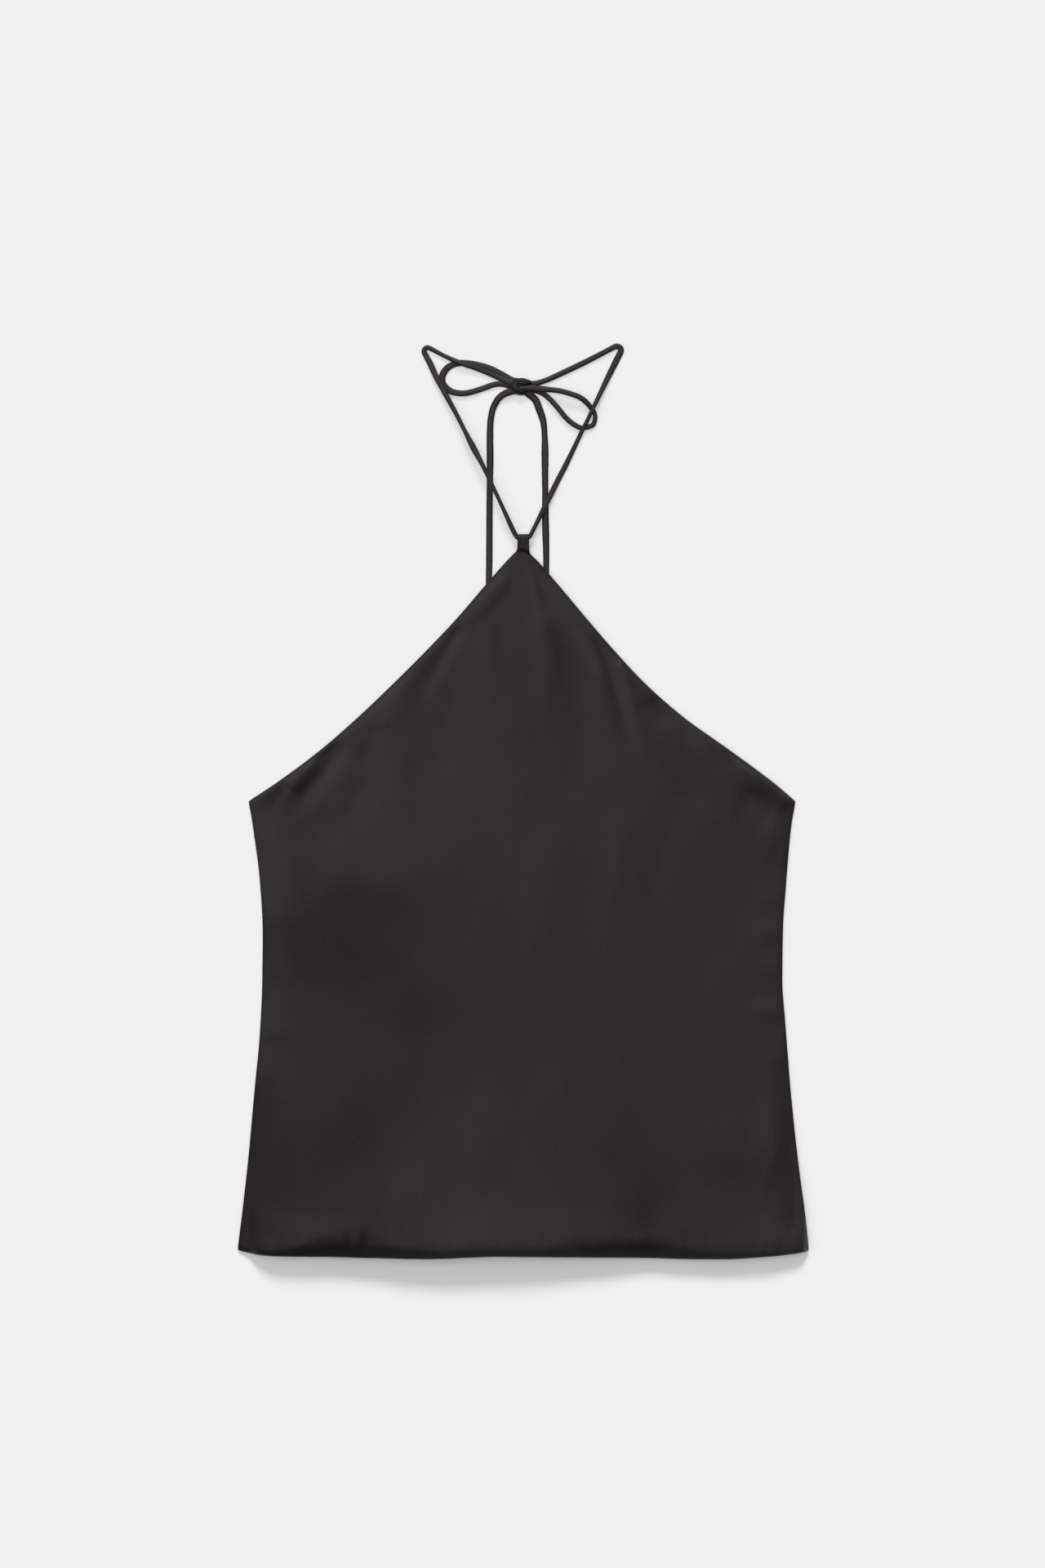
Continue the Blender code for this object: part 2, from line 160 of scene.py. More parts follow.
def smoothCurve(places, values):
    # a smooth line through the values that never swings past them, for whole arrays
    places = np.asarray(places, float)
    values = np.asarray(values, float)
    rises = np.diff(values) / np.diff(places)
    slopes = np.concatenate((rises[:1], np.zeros(len(rises) - 1), rises[-1:]))
    product = rises[:-1] * rises[1:]
    turning = product > 0
    slopes[1:-1][turning] = 2 * product[turning] / (rises[:-1] + rises[1:])[turning]

    def at(place):
        place = np.asarray(place, float)
        k = np.clip(np.searchsorted(places, place, side="right") - 1, 0, len(places) - 2)
        span = places[k + 1] - places[k]
        t = np.clip((place - places[k]) / span, 0.0, 1.0)
        start = (1 + 2 * t) * (1 - t) ** 2 * values[k] + t * (1 - t) ** 2 * span * slopes[k]
        end = t * t * (3 - 2 * t) * values[k + 1] + t * t * (t - 1) * span * slopes[k + 1]
        return start + end

    return at


def tableCurves(table):
    # a smooth line over the table's first column for each of the others
    places, *others = zip(*table)
    return [smoothCurve(places, values) for values in others]


def crowded(count, power):
    # places from -1 to 1 that stand closer towards both ends
    t = np.linspace(-1.0, 1.0, count)
    return np.sign(t) * (1 - (1 - np.abs(t)) ** power)


def lengthAlong(line):
    # the way gone at each point of a line
    return np.concatenate(([0.0], np.cumsum(np.linalg.norm(np.diff(line, axis=0), axis=1))))


def smoothRoute(points, step):
    # closely spaced points of a smooth curve through a route's own points
    points = [np.array(point, float) for point in points]
    ends = [2 * points[0] - points[1]] + points + [2 * points[-1] - points[-2]]
    line = []
    for before, start, end, after in zip(ends, ends[1:], ends[2:], ends[3:]):
        count = max(int(np.linalg.norm(end - start) / step), 2)
        for k in range(count):
            t = k / count
            line.append(0.5 * (2 * start + (end - before) * t
                               + (2 * before - 5 * start + 4 * end - after) * t * t
                               + (3 * start - before - 3 * end + after) * t ** 3))
    line.append(points[-1])
    return np.array(line)


# Camera

cameraView = {
    "centre": (-0.0003, 0.0913),  # the point of the floor in the middle of the picture
    "tall": 1.2672,  # the floor's stretch from the picture's top to its bottom
    "lens": 85.0,
    "sensor": 36.0,
    "reach": 100.0,
}


def makeCamera():
    data = bpy.data.cameras.new("camera")
    data.lens = cameraView["lens"]
    data.sensor_width = cameraView["sensor"]
    data.clip_end = cameraView["reach"]
    camera = bpy.data.objects.new("camera", data)
    height = cameraView["tall"] * cameraView["lens"] / cameraView["sensor"]
    camera.location = (*cameraView["centre"], height)
    bpy.context.collection.objects.link(camera)
    bpy.context.scene.camera = camera


makeCamera()
print("camera made")


# Finishes

satinLook = {
    "colour": (0.0266, 0.0209, 0.0226),
    "roughness": 0.42,
    "shine": 0.32,
    "weave": 0.36 * mm,  # from yarn to yarn
    "yarnLength": 6,  # how many times longer than broad the yarns look
    "weaveDepth": 0.010 * mm,
    "streak": 2.2 * mm,  # breadth of the slight stripes along the warp
    "streakLength": 60 * mm,
    "streakShare": 0.04,  # how much they lighten or darken the colour
    "streakGloss": 0.02,
    "grain": 1.3 * mm,
    "grainShare": 0.4,
    "cloudSize": 45 * mm,  # slow changes of gloss
    "cloudShare": 0.05,
    "crumple": 7 * mm,  # fine unevenness of the cloth
    "crumpleDepth": 0.035 * mm,
    "darkest": 0.05,  # the colour never falls below this share of itself, however much painted shade is laid on
    "redKept": 0.15,  # where shade is painted, more of the red and blue is kept
    "blueKept": 0.08,
}


def newMaterial(name):
    material = bpy.data.materials.new(name)
    material.use_nodes = True
    tree = material.node_tree
    tree.nodes.clear()
    leave = tree.nodes.new("ShaderNodeOutputMaterial")
    surface = tree.nodes.new("ShaderNodeBsdfPrincipled")
    tree.links.new(surface.outputs[0], leave.inputs[0])
    return material, Flow(tree), surface


def plug(flow, surface, name):
    surface.id_data.links.new(flow.socket, surface.inputs[name])


def clothNoise(place, scale, detail, dimensions="2D"):
    return place.node("ShaderNodeTexNoise", {"noise_dimensions": dimensions},
                      {"Vector": place, "Scale": scale, "Detail": detail})


def makeSatin(name, **changes):
    # warp runs along the second axis of the cloth's own map, which is in metres
    look = {**satinLook, **changes}
    material, flow, surface = newMaterial(name)
    surface.inputs["Specular IOR Level"].default_value = look["shine"]
    place = flow.node("ShaderNodeUVMap", {"uv_map": "clothMap"})
    across = place.vector("MULTIPLY", (1 / look["weave"], 1 / (look["weave"] * look["yarnLength"]), 0.0))
    along = place.vector("MULTIPLY", (1 / look["streak"], 1 / look["streakLength"], 0.0))
    yarns = clothNoise(across, 1.0, 1.0)
    streaks = clothNoise(along, 1.0, 2.0) - 0.5
    clouds = clothNoise(place, 1 / look["cloudSize"], 2.0) - 0.5
    grain = clothNoise(place, 1 / look["grain"], 1.0) - 0.5
    crumples = clothNoise(place, 1 / look["crumple"], 3.0)
    # painted light and shade stored on the pieces lightens or darkens the colour
    paintedLightAndShade = flow.node("ShaderNodeAttribute", {"attribute_name": "paintedShading"}, None, "Fac")
    shade = 1.0 + streaks * (2 * look["streakShare"]) + grain * (2 * look["grainShare"]) + paintedLightAndShade
    shade = flow.maths("MAXIMUM", shade, look["darkest"])
    part = flow.node("ShaderNodeCombineColor", None, {
        0: shade - paintedLightAndShade * look["redKept"], 1: shade, 2: shade - paintedLightAndShade * look["blueKept"]})
    tint = flow.node("ShaderNodeMix", {"data_type": "RGBA", "blend_type": "MULTIPLY"},
                     {"Factor": 1.0, 6: (*look["colour"], 1.0), 7: part}, 2)
    gloss = look["roughness"] + clouds * (2 * look["cloudShare"]) + streaks * (2 * look["streakGloss"])
    height = yarns * (look["weaveDepth"] / mm) + crumples * (look["crumpleDepth"] / mm)
    bump = flow.node("ShaderNodeBump", None, {"Strength": 1.0, "Distance": mm, "Height": height})
    plug(tint, surface, "Base Color")
    plug(gloss, surface, "Roughness")
    plug(bump, surface, "Normal")
    return material


# the same satin for every piece; the strap loop, ties and wrap get lighter colours and the nub and core a
# darker one, as painted light and shade
frontSatin = makeSatin("frontSatin")
backSatin = makeSatin("backSatin")
loopSatin = makeSatin(
    "loopSatin", colour=(0.037, 0.028, 0.031), roughness=0.6, shine=0.12,
    streakShare=0.8, streak=0.8 * mm, streakLength=20 * mm)
tieSatin = makeSatin(
    "tieSatin", colour=(0.051, 0.044, 0.046), roughness=0.5, shine=0.2, streak=1.0 * mm, streakLength=14 * mm)
wrapSatin = makeSatin("wrapSatin", colour=(0.034, 0.028, 0.030), roughness=0.5, shine=0.2)
# the nub and the knot's filled middle: a darker copy, painted shade
nubShadedSatin = makeSatin("nubShadedSatin", colour=(0.020, 0.014, 0.016), roughness=0.6, shine=0.2)
print("finishes made")


# The neck tie: a rouleau tube on each side, from the strap loop to its free end

tieSizes = {
    "diameter": 4.6,  # mm
    "girth": 7.0,  # mm, width and thickness added together
    "thickest": 2.8,  # mm
    "thinnest": 2.0,
    "insideKnot": 0.85,  # width there, as a share of the diameter
    "routeStep": 0.5,  # mm, as the next one
    "ringStep": 1.0,
    "around": 22,  # points round a ring
    "boxiness": 0.96,
    "seamDepth": 0.22,  # of the stitched seam, as a share of the radius
    "seamTurns": 1.6,  # turns that the seam takes from end to end
    "seamStart": 0.6,  # radians round from the side
    "seamSharpness": 30.0,
    "pucker": 0.05,  # uneven swelling, as a share of the radius
    "puckerScale": 260.0,  # in a metre
    "puckerRadius": 2.0,  # mm from the middle, where it is read
    "clothRadius": 2.2,  # mm, of the cloth's own map
    "edgeShade": 0.9,  # painted shade along both sides of the tube, as a share of its colour
    "edgeShadePower": 1.8,
    "endRound": 1.6,  # mm, as the rest
    "floorGap": 0.15,
    "lowest": 0.05,
    "mergeGap": 0.002,
}

# routes in mm (across, up, height), from the strap loop outwards
leftRun = (
    (0.05, 289.3, 5.6), (-2.2, 289.3, 5.6), (-4.2, 290.1, 5.6), (-5.7, 291.9, 5.7), (-7.9, 295.9, 5.9),
    (-10.9, 302.3, 6.5), (-17.0, 315.7, 7.8), (-23.2, 328.9, 8.6), (-26.2, 335.1, 8.9), (-32.7, 348.7, 9.0),
    (-39.7, 361.9, 8.0), (-46.4, 375.1, 6.8), (-53.0, 388.3, 5.8), (-60.1, 401.5, 5.0), (-65.7, 412.0, 4.4),
    (-70.0, 420.0, 3.6), (-74.8, 430.5, 2.2), (-78.3, 437.1, 1.3), (-79.8, 440.0, 1.1), (-79.6, 442.3, 1.1),
    (-78.1, 443.7, 1.1), (-76.0, 443.7, 1.1), (-71.0, 441.1, 1.2), (-65.0, 437.9, 1.4), (-59.1, 435.0, 2.2),
    (-53.1, 432.3, 3.3), (-47.2, 430.1, 3.3), (-39.3, 427.7, 2.6), (-31.4, 424.8, 2.0), (-23.4, 421.4, 1.8),
    (-15.5, 417.8, 2.4), (-10.9, 415.7, 3.3), (-6.8, 414.5, 4.0),
)
leftLoop = (
    (-7.0, 417.3, 1.2), (-11.2, 419.0, 1.2), (-15.5, 421.4, 1.2), (-19.5, 423.5, 1.2), (-23.4, 425.5, 1.2),
    (-27.4, 427.2, 1.2), (-35.3, 429.5, 1.2), (-43.2, 431.0, 1.2), (-49.2, 431.4, 1.2), (-55.1, 430.5, 1.2),
    (-60.1, 428.1, 1.2), (-63.5, 424.4, 1.2), (-65.3, 420.0, 1.2), (-65.0, 415.6, 1.3), (-62.6, 411.8, 1.4),
    (-58.4, 408.6, 1.6), (-53.1, 407.1, 1.8), (-47.2, 406.8, 1.9), (-41.2, 407.9, 1.8), (-35.3, 409.7, 1.6),
    (-29.4, 411.8, 1.3), (-23.4, 413.8, 1.2), (-17.5, 414.4, 1.2), (-12.2, 413.2, 1.2), (-7.0, 412.5, 1.2),
)
leftTail = (
    (-7.0, 408.7, 3.5), (-11.1, 407.7, 3.3), (-15.5, 405.9, 2.9), (-19.5, 402.8, 2.3), (-22.0, 399.1, 1.8),
    (-24.2, 394.5, 1.4), (-25.6, 388.3, 1.2), (-26.4, 380.4, 1.2), (-26.6, 368.5, 1.2), (-26.5, 352.0, 1.2),
    (-26.6, 335.5, 1.2), (-26.9, 319.0, 1.2), (-27.0, 302.5, 1.2), (-27.1, 286.0, 1.2), (-27.2, 269.5, 1.2),
    (-27.4, 255.0, 1.2), (-27.3, 236.5, 1.2), (-26.0, 213.4, 1.2), (-24.0, 190.3, 1.2), (-23.0, 170.5, 1.2),
    (-23.8, 152.0, 1.2),
)
rightRun = (
    (0.35, 289.3, 5.6), (2.8, 289.4, 5.6), (4.8, 290.4, 5.6), (6.2, 292.1, 5.5), (8.2, 296.0, 5.3),
    (11.5, 302.5, 5.0), (14.7, 309.1, 4.8), (18.1, 316.0, 4.4), (21.4, 322.6, 3.4), (27.7, 335.5, 1.6),
    (34.5, 348.7, 1.2), (40.9, 361.9, 1.2), (47.2, 375.1, 2.6), (50.6, 381.7, 3.9), (53.8, 388.3, 4.8),
    (57.0, 395.2, 4.9), (61.3, 404.1, 3.6), (66.3, 414.7, 2.2), (71.4, 425.2, 1.4), (76.4, 435.4, 1.2),
    (78.7, 439.9, 1.1), (79.1, 442.3, 1.1), (77.8, 444.2, 1.1), (75.6, 444.8, 1.1), (73.2, 443.9, 1.1),
    (67.8, 441.1, 1.1), (57.6, 435.8, 1.1), (47.1, 430.5, 1.1), (35.9, 425.2, 1.1), (24.4, 419.8, 1.1),
    (17.8, 417.1, 1.2), (11.9, 415.3, 1.3), (6.8, 414.7, 1.4),
)
rightLoop = (
    (6.4, 410.5, 4.9), (11.4, 410.4, 5.1), (16.2, 409.8, 5.4), (22.1, 409.3, 5.8), (28.1, 408.6, 6.2),
    (34.0, 407.3, 6.3), (39.9, 405.5, 6.3), (45.9, 403.2, 5.6), (51.2, 399.3, 4.2), (55.2, 394.7, 2.9),
    (58.0, 390.4, 2.2), (58.3, 385.9, 1.9), (56.5, 381.3, 1.7), (52.1, 379.6, 1.6), (47.5, 378.8, 1.8),
    (42.9, 380.7, 2.2), (38.3, 383.8, 2.6), (34.0, 387.9, 2.9), (29.7, 393.3, 3.0), (25.4, 398.4, 2.9),
    (21.1, 402.9, 2.5), (16.7, 406.4, 2.0), (11.9, 408.7, 1.6), (6.9, 409.9, 1.4),
)
rightTail = (
    (5.4, 405.6, 1.4), (8.6, 403.3, 1.3), (11.2, 399.7, 1.2), (13.1, 394.5, 1.2), (15.4, 388.3, 1.2),
    (16.9, 381.7, 1.2), (17.6, 372.4, 1.2), (17.9, 358.6, 1.2), (17.9, 342.1, 1.2), (18.1, 325.6, 1.2),
    (18.2, 309.1, 1.2), (18.4, 295.9, 1.2), (18.8, 279.4, 1.2), (18.9, 262.9, 1.2), (19.1, 243.1, 1.2),
    (20.1, 220.0, 1.2), (21.6, 196.9, 1.2), (22.4, 173.8, 1.2), (21.4, 153.3, 1.2),
)
# the turns inside the knot
leftTurn = ((-2.4, 413.6, 4.4), (1.6, 414.2, 3.6), (2.6, 415.9, 2.6), (0.6, 417.2, 1.7), (-3.0, 417.2, 1.3))
leftCross = ((-3.0, 411.9, 1.3), (0.3, 411.4, 1.6), (1.8, 410.1, 2.3), (0.4, 408.9, 3.1), (-3.2, 408.7, 3.5))
rightTurn = ((3.4, 414.4, 1.5), (-0.6, 414.0, 1.7), (-3.4, 412.6, 2.6), (-2.6, 411.0, 3.8), (1.4, 410.7, 4.6))
rightCross = ((3.4, 409.9, 1.4), (1.7, 408.9, 1.4), (2.4, 407.1, 1.4))

# width seen from above, in mm, at a share of each stretch's length
leftWidths = {
    "run": ((0.0, 3.8), (0.06, 3.9), (0.14, 3.2), (0.26, 3.5), (0.32, 5.1), (0.41, 3.4), (0.48, 3.9),
            (0.63, 4.9), (0.69, 4.3), (0.74, 3.4), (0.84, 4.2), (1.0, 4.9)),
    "loop": ((0.0, 4.6), (0.2, 5.1), (0.36, 5.0), (0.5, 5.6), (0.6, 5.1), (0.75, 4.8), (1.0, 4.8)),
    "tail": ((0.0, 5.8), (0.1, 5.1), (0.22, 5.6), (0.34, 5.1), (0.45, 5.2), (0.55, 5.2), (0.7, 4.8),
             (1.0, 5.0)),
}
rightWidths = {
    "run": ((0.0, 3.8), (0.05, 3.4), (0.17, 4.4), (0.23, 4.5), (0.36, 3.6), (0.46, 3.2), (0.54, 4.0),
            (0.66, 5.4), (0.74, 4.4), (0.85, 4.6), (1.0, 4.2)),
    "loop": ((0.0, 5.2), (0.05, 5.2), (0.14, 4.3), (0.35, 4.4), (0.46, 3.6), (0.54, 4.0), (0.62, 4.1),
             (0.7, 4.3), (0.85, 4.4), (1.0, 4.6)),
    "tail": ((0.0, 5.8), (0.06, 5.8), (0.13, 4.7), (0.21, 5.7), (0.3, 4.9), (0.44, 5.6), (0.55, 4.8),
             (0.8, 5.0), (1.0, 4.8)),
}


def makeSweepTree():
    # a soft tube along a line of points that carry their own half sizes and upward direction
    tree, given = newTree("softTube", {
        "Rings": "Int", "Around": "Int", "Boxiness": "Float", "Seam Depth": "Float", "Seam Turns": "Float",
        "Pucker": "Float", "Edge Shade": "Float", "End Round": "Float", "Floor": "Float",
        "Material": "Material"})
    flow = Flow(tree)
    curve = flow.node("GeometryNodeMeshToCurve", None, {"Mesh": given["Geometry"]})
    length = flow.node("GeometryNodeCurveLength", None, {"Curve": curve})
    grid = flow.node("GeometryNodeMeshGrid", None, {
        "Size X": 1.0, "Size Y": 1.0, "Vertices X": given["Rings"], "Vertices Y": given["Around"]})
    spot = flow.node("ShaderNodeSeparateXYZ", None, {0: flow.node("GeometryNodeInputPosition")})
    share = spot + 0.5
    turn = (spot.output("Y") + 0.5) * (2 * math.pi)

    def sampled(name, kind):
        value = flow.node("GeometryNodeInputNamedAttribute", {"data_type": kind}, {"Name": name})
        return flow.node("GeometryNodeSampleCurve", {"mode": "FACTOR", "data_type": kind},
                         {"Curves": curve, "Value": value, "Factor": share})

    def stored(shape, name, kind, domain, value):
        return flow.node("GeometryNodeStoreNamedAttribute", {"data_type": kind, "domain": domain},
                         {"Geometry": shape, "Name": name, "Value": value})

    halfWidth = sampled("halfWidth", "FLOAT")
    halfHeight = sampled("halfHeight", "FLOAT")
    upward = sampled("upward", "FLOAT_VECTOR")
    middle = upward.output("Position")
    ahead = upward.output("Tangent")
    side = ahead.vector("CROSS_PRODUCT", upward).vector("NORMALIZE")
    rise = side.vector("CROSS_PRODUCT", ahead).vector("NORMALIZE")
    cosine = flow.maths("COSINE", turn)
    sine = flow.maths("SINE", turn)
    outX = flow.maths("SIGN", cosine) * flow.maths("ABSOLUTE", cosine) ** given["Boxiness"]
    outZ = flow.maths("SIGN", sine) * flow.maths("ABSOLUTE", sine) ** given["Boxiness"]
    # the seam is a groove that winds slowly round the tube
    seamAt = share * given["Seam Turns"] * (2 * math.pi) + tieSizes["seamStart"]
    groove = flow.maths("EXPONENT", (flow.maths("COSINE", turn - seamAt) - 1.0) * tieSizes["seamSharpness"])
    onSide = middle.vector("ADD", side.vector("SCALE", outX * (tieSizes["puckerRadius"] * mm)))
    puckers = clothNoise(onSide, tieSizes["puckerScale"], 2.0, "3D")
    swell = 1.0 - groove * given["Seam Depth"] + (puckers - 0.5) * 2.0 * given["Pucker"]
    fromEnd = flow.maths("MINIMUM", share, 1.0 - share) * length / given["End Round"]
    closing = flow.maths("SQRT", 1.0 - (1.0 - flow.maths("MINIMUM", fromEnd, 1.0)) ** 2.0)
    scale = swell * closing
    offset = side.vector("SCALE", outX * halfWidth * scale)
    offset = offset.vector("ADD", rise.vector("SCALE", outZ * halfHeight * scale))
    place = flow.node("ShaderNodeSeparateXYZ", None, {0: middle.vector("ADD", offset)})
    held = flow.node("ShaderNodeCombineXYZ", None, {
        0: place, 1: place.output("Y"), 2: flow.maths("MAXIMUM", place.output("Z"), given["Floor"])})
    cloth = flow.node("ShaderNodeCombineXYZ", None, {
        0: turn * (tieSizes["clothRadius"] * mm), 1: share * length})
    # painted shade along both sides of the tube, stored for the satin's colour
    paintedEdgeShade = flow.maths("ABSOLUTE", outX) ** tieSizes["edgeShadePower"] * given["Edge Shade"] * -1.0
    shape = stored(grid, "clothMap", "FLOAT2", "CORNER", cloth)
    shape = stored(shape, "paintedShading", "FLOAT", "POINT", paintedEdgeShade)
    shape = flow.node("GeometryNodeSetPosition", None, {"Geometry": shape, "Position": held})
    shape = flow.node("GeometryNodeMergeByDistance", None, {
        "Geometry": shape, "Distance": tieSizes["mergeGap"] * mm})
    shape = flow.node("GeometryNodeSetShadeSmooth", None, {"Geometry": shape})
    return endTree(tree, shape, given["Material"])


softTube = makeSweepTree()


def makeTube(name, line, halfWidths, halfHeights, upward, changes=None):
    # line, half sizes and upward directions in metres, one for each point
    mesh = bpy.data.meshes.new(name)
    mesh.from_pydata([tuple(point) for point in line], [(k, k + 1) for k in range(len(line) - 1)], [])
    for label, numbers in (("halfWidth", halfWidths), ("halfHeight", halfHeights)):
        layer = mesh.attributes.new(label, "FLOAT", "POINT")
        layer.data.foreach_set("value", np.asarray(numbers, np.float32))
    layer = mesh.attributes.new("upward", "FLOAT_VECTOR", "POINT")
    layer.data.foreach_set("vector", np.asarray(upward, np.float32).ravel())
    piece = newPiece(name, mesh)
    length = float(lengthAlong(line)[-1])
    settings = {
        "Rings": int(length / (tieSizes["ringStep"] * mm)) + 1,
        "Around": tieSizes["around"] + 1,
        "Boxiness": tieSizes["boxiness"],
        "Seam Depth": tieSizes["seamDepth"],
        "Seam Turns": tieSizes["seamTurns"],
        "Pucker": tieSizes["pucker"],
        "Edge Shade": tieSizes["edgeShade"],
        "End Round": tieSizes["endRound"] * mm,
        "Floor": tieSizes["lowest"] * mm,
        "Material": tieSatin,
    }
    growTree(piece, softTube, {**settings, **(changes or {})})
    return piece, length


def tieLine(run, turn, loop, cross, tail, widths):
    # the whole route and its widths, from the strap loop to the free end
    line, wide = [], []
    for points, name in ((run, "run"), (turn, None), (loop, "loop"), (cross, None), (tail, "tail")):
        if name is None:  # inside the knot, between two stretches
            line += [np.array(point) for point in points]
            wide += [tieSizes["diameter"] * tieSizes["insideKnot"]] * len(points)
            continue
        points = np.array(points)
        along = lengthAlong(points)
        line += list(points)
        wide += list(smoothCurve(*zip(*widths[name]))(along / along[-1]))
    return smoothRoute(np.column_stack((np.array(line), wide)), tieSizes["routeStep"])


def makeTie(name, stretches, widths):
    route = tieLine(*stretches, widths)
    halfWidths = 0.5 * route[:, 3]
    halfHeights = 0.5 * np.clip(tieSizes["girth"] - route[:, 3], tieSizes["thinnest"], tieSizes["thickest"])
    line = route[:, :3].copy()
    line[:, 2] = np.maximum(line[:, 2], halfHeights + tieSizes["floorGap"])
    line *= mm
    upward = np.tile((0.0, 0.0, 1.0), (len(line), 1))
    piece, length = makeTube(name, line, halfWidths * mm, halfHeights * mm, upward)
    return piece, line, length


leftTie, leftPath, leftLength = makeTie(
    "leftTie", (leftRun, leftTurn, leftLoop, leftCross, leftTail), leftWidths)
rightTie, rightPath, rightLength = makeTie(
    "rightTie", (rightRun, rightTurn, rightLoop, rightCross, rightTail), rightWidths)
dress(leftTie, "tie_satin", "tie_left_run", "tie_left_loop", "tie_left_tail")
dress(rightTie, "tie_satin", "tie_right_run", "tie_right_loop", "tie_right_tail")
print("ties made:", round(leftLength, 3), "and", round(rightLength, 3), "m")


# The bow knot: a strand wrapped over the others, a puckered nub behind it, a filled middle

knotSizes = {
    # the wrapping strand in mm (across, up, height), over the top of the knot
    "wrap": ((-4.6, 415.8, 2.4), (-6.2, 415.4, 4.0), (-6.9, 413.3, 4.9), (-6.4, 410.5, 5.1),
             (-5.0, 407.9, 4.5), (-2.8, 406.4, 3.4), (-0.3, 406.2, 2.4), (1.3, 407.6, 1.4)),
    "wrapWidth": 6.0,  # mm, as the next two
    "wrapHeight": 2.2,
    "wrapStep": 0.4,
    "wrapRings": 40,
    "wrapSeamTurns": 0.1,
    "axis": (412.0, 2.6),  # up and height of the line that it goes round
    "core": ((-0.6, 411.8, 2.2), (5.2, 5.4, 1.8)),  # middle and half sizes
    "nub": ((-1.0, 415.4, 3.7), (8.4, 2.9, 2.7)),
    "nubCreases": ((1.7, 0.3), (3.6, 0.2), (6.0, 0.07)),  # how close and how deep
    "fineness": 5,  # of the meshes of core and nub
}


def makeWrap():
    route = smoothRoute(knotSizes["wrap"], knotSizes["wrapStep"])
    outward = route - np.array((0.0, *knotSizes["axis"]))
    outward[:, 0] = 0.0
    half = np.full(len(route), 0.5 * mm)
    changes = {
        "Rings": knotSizes["wrapRings"], "Seam Turns": knotSizes["wrapSeamTurns"], "Material": wrapSatin}
    return makeTube("knotWrap", route * mm, half * knotSizes["wrapWidth"],
                    half * knotSizes["wrapHeight"], outward, changes)[0]


def makeLump(name, middle, half, creases=()):
    # an egg of crumpled cloth
    lump = bmesh.new()
    bmesh.ops.create_icosphere(lump, subdivisions=knotSizes["fineness"], radius=1.0)
    cloth = lump.loops.layers.uv.new("clothMap")
    for vert in lump.verts:
        wave = sum(depth * noise.noise(vert.co * close) for close, depth in creases)
        for axis in range(3):
            vert.co[axis] = (middle[axis] + half[axis] * vert.co[axis] * (1.0 + wave)) * mm
    for face in lump.faces:
        for loop in face.loops:
            loop[cloth].uv = (loop.vert.co.x, loop.vert.co.y)
        face.smooth = True
    mesh = bpy.data.meshes.new(name)
    lump.to_mesh(mesh)
    lump.free()
    return newPiece(name, mesh, nubShadedSatin)


knotWrap = makeWrap()
knotCore = makeLump("knotCore", *knotSizes["core"])
knotNub = makeLump("knotNub", *knotSizes["nub"], knotSizes["nubCreases"])
knot = [knotWrap, knotCore, knotNub]
for part in knot:
    dress(part, "tie_satin", "bow_knot")

print("knot made")


# The cut of the body, in mm down from the strap loop's fold

body = {
    "foldUp": 293.9,  # where down is 0
    "tipDown": 13.2,  # the front's top, inside the loop
    "armholeDown": 217.0,
    "turnDown": 584.0,  # where the hem starts to curl
    "hemDown": 585.8,
    "waveStart": 400.0,  # from here the cloth rises to the hem's crest
    "waveEnd": 8.0,  # above the curl
    "wavePower": 1.7,
    "wall": 1.0,
    "areaSteps": 400,
}

# down, and how far out the edge is on the left and on the right
neckCut = (
    (body["tipDown"], 3.4, 3.7), (14.6, 3.9, 4), (16.4, 5.7, 4.7), (24.1, 13.2, 12), (43.9, 30.6, 29.2),
    (70.3, 53.4, 51.4), (96.7, 78.5, 74.3), (123.1, 105, 99.2), (149.5, 132.8, 129.5),
    (175.9, 163.2, 166.5), (202.3, 198.6, 202.2), (body["armholeDown"], 221, 219.6),
)
sideCut = (
    (body["armholeDown"], 221, 219.6), (241.6, 217.2, 216), (281.2, 212.3, 212.6), (320.8, 210.1, 209.9),
    (360, 210.4, 209.4), (400, 212.1, 212.2), (452.8, 216.9, 216.3), (505.6, 221.5, 221.6),
    (545, 225.5, 226.1), (body["hemDown"], 230, 230.1),
)
# down, and the height of the underside at the edge, on the left, in the middle and on the right
liftRows = (
    (body["tipDown"], 4.2, 4.2, 4.2, 4.2), (26, 4.2, 4.5, 4.6, 4.5), (45, 4.1, 4.8, 5.1, 4.8),
    (90, 3.8, 4.9, 5.6, 4.9), (150, 3.4, 4.4, 5.8, 4.5), (200, 2.4, 3.2, 6, 3.4), (222, 1.4, 2.7, 6.2, 2.8),
    (320, 1.4, 2.7, 6.6, 2.8), (440, 1.4, 3, 7, 3.2), (body["hemDown"], 1.4, 5, 8.6, 5),
)
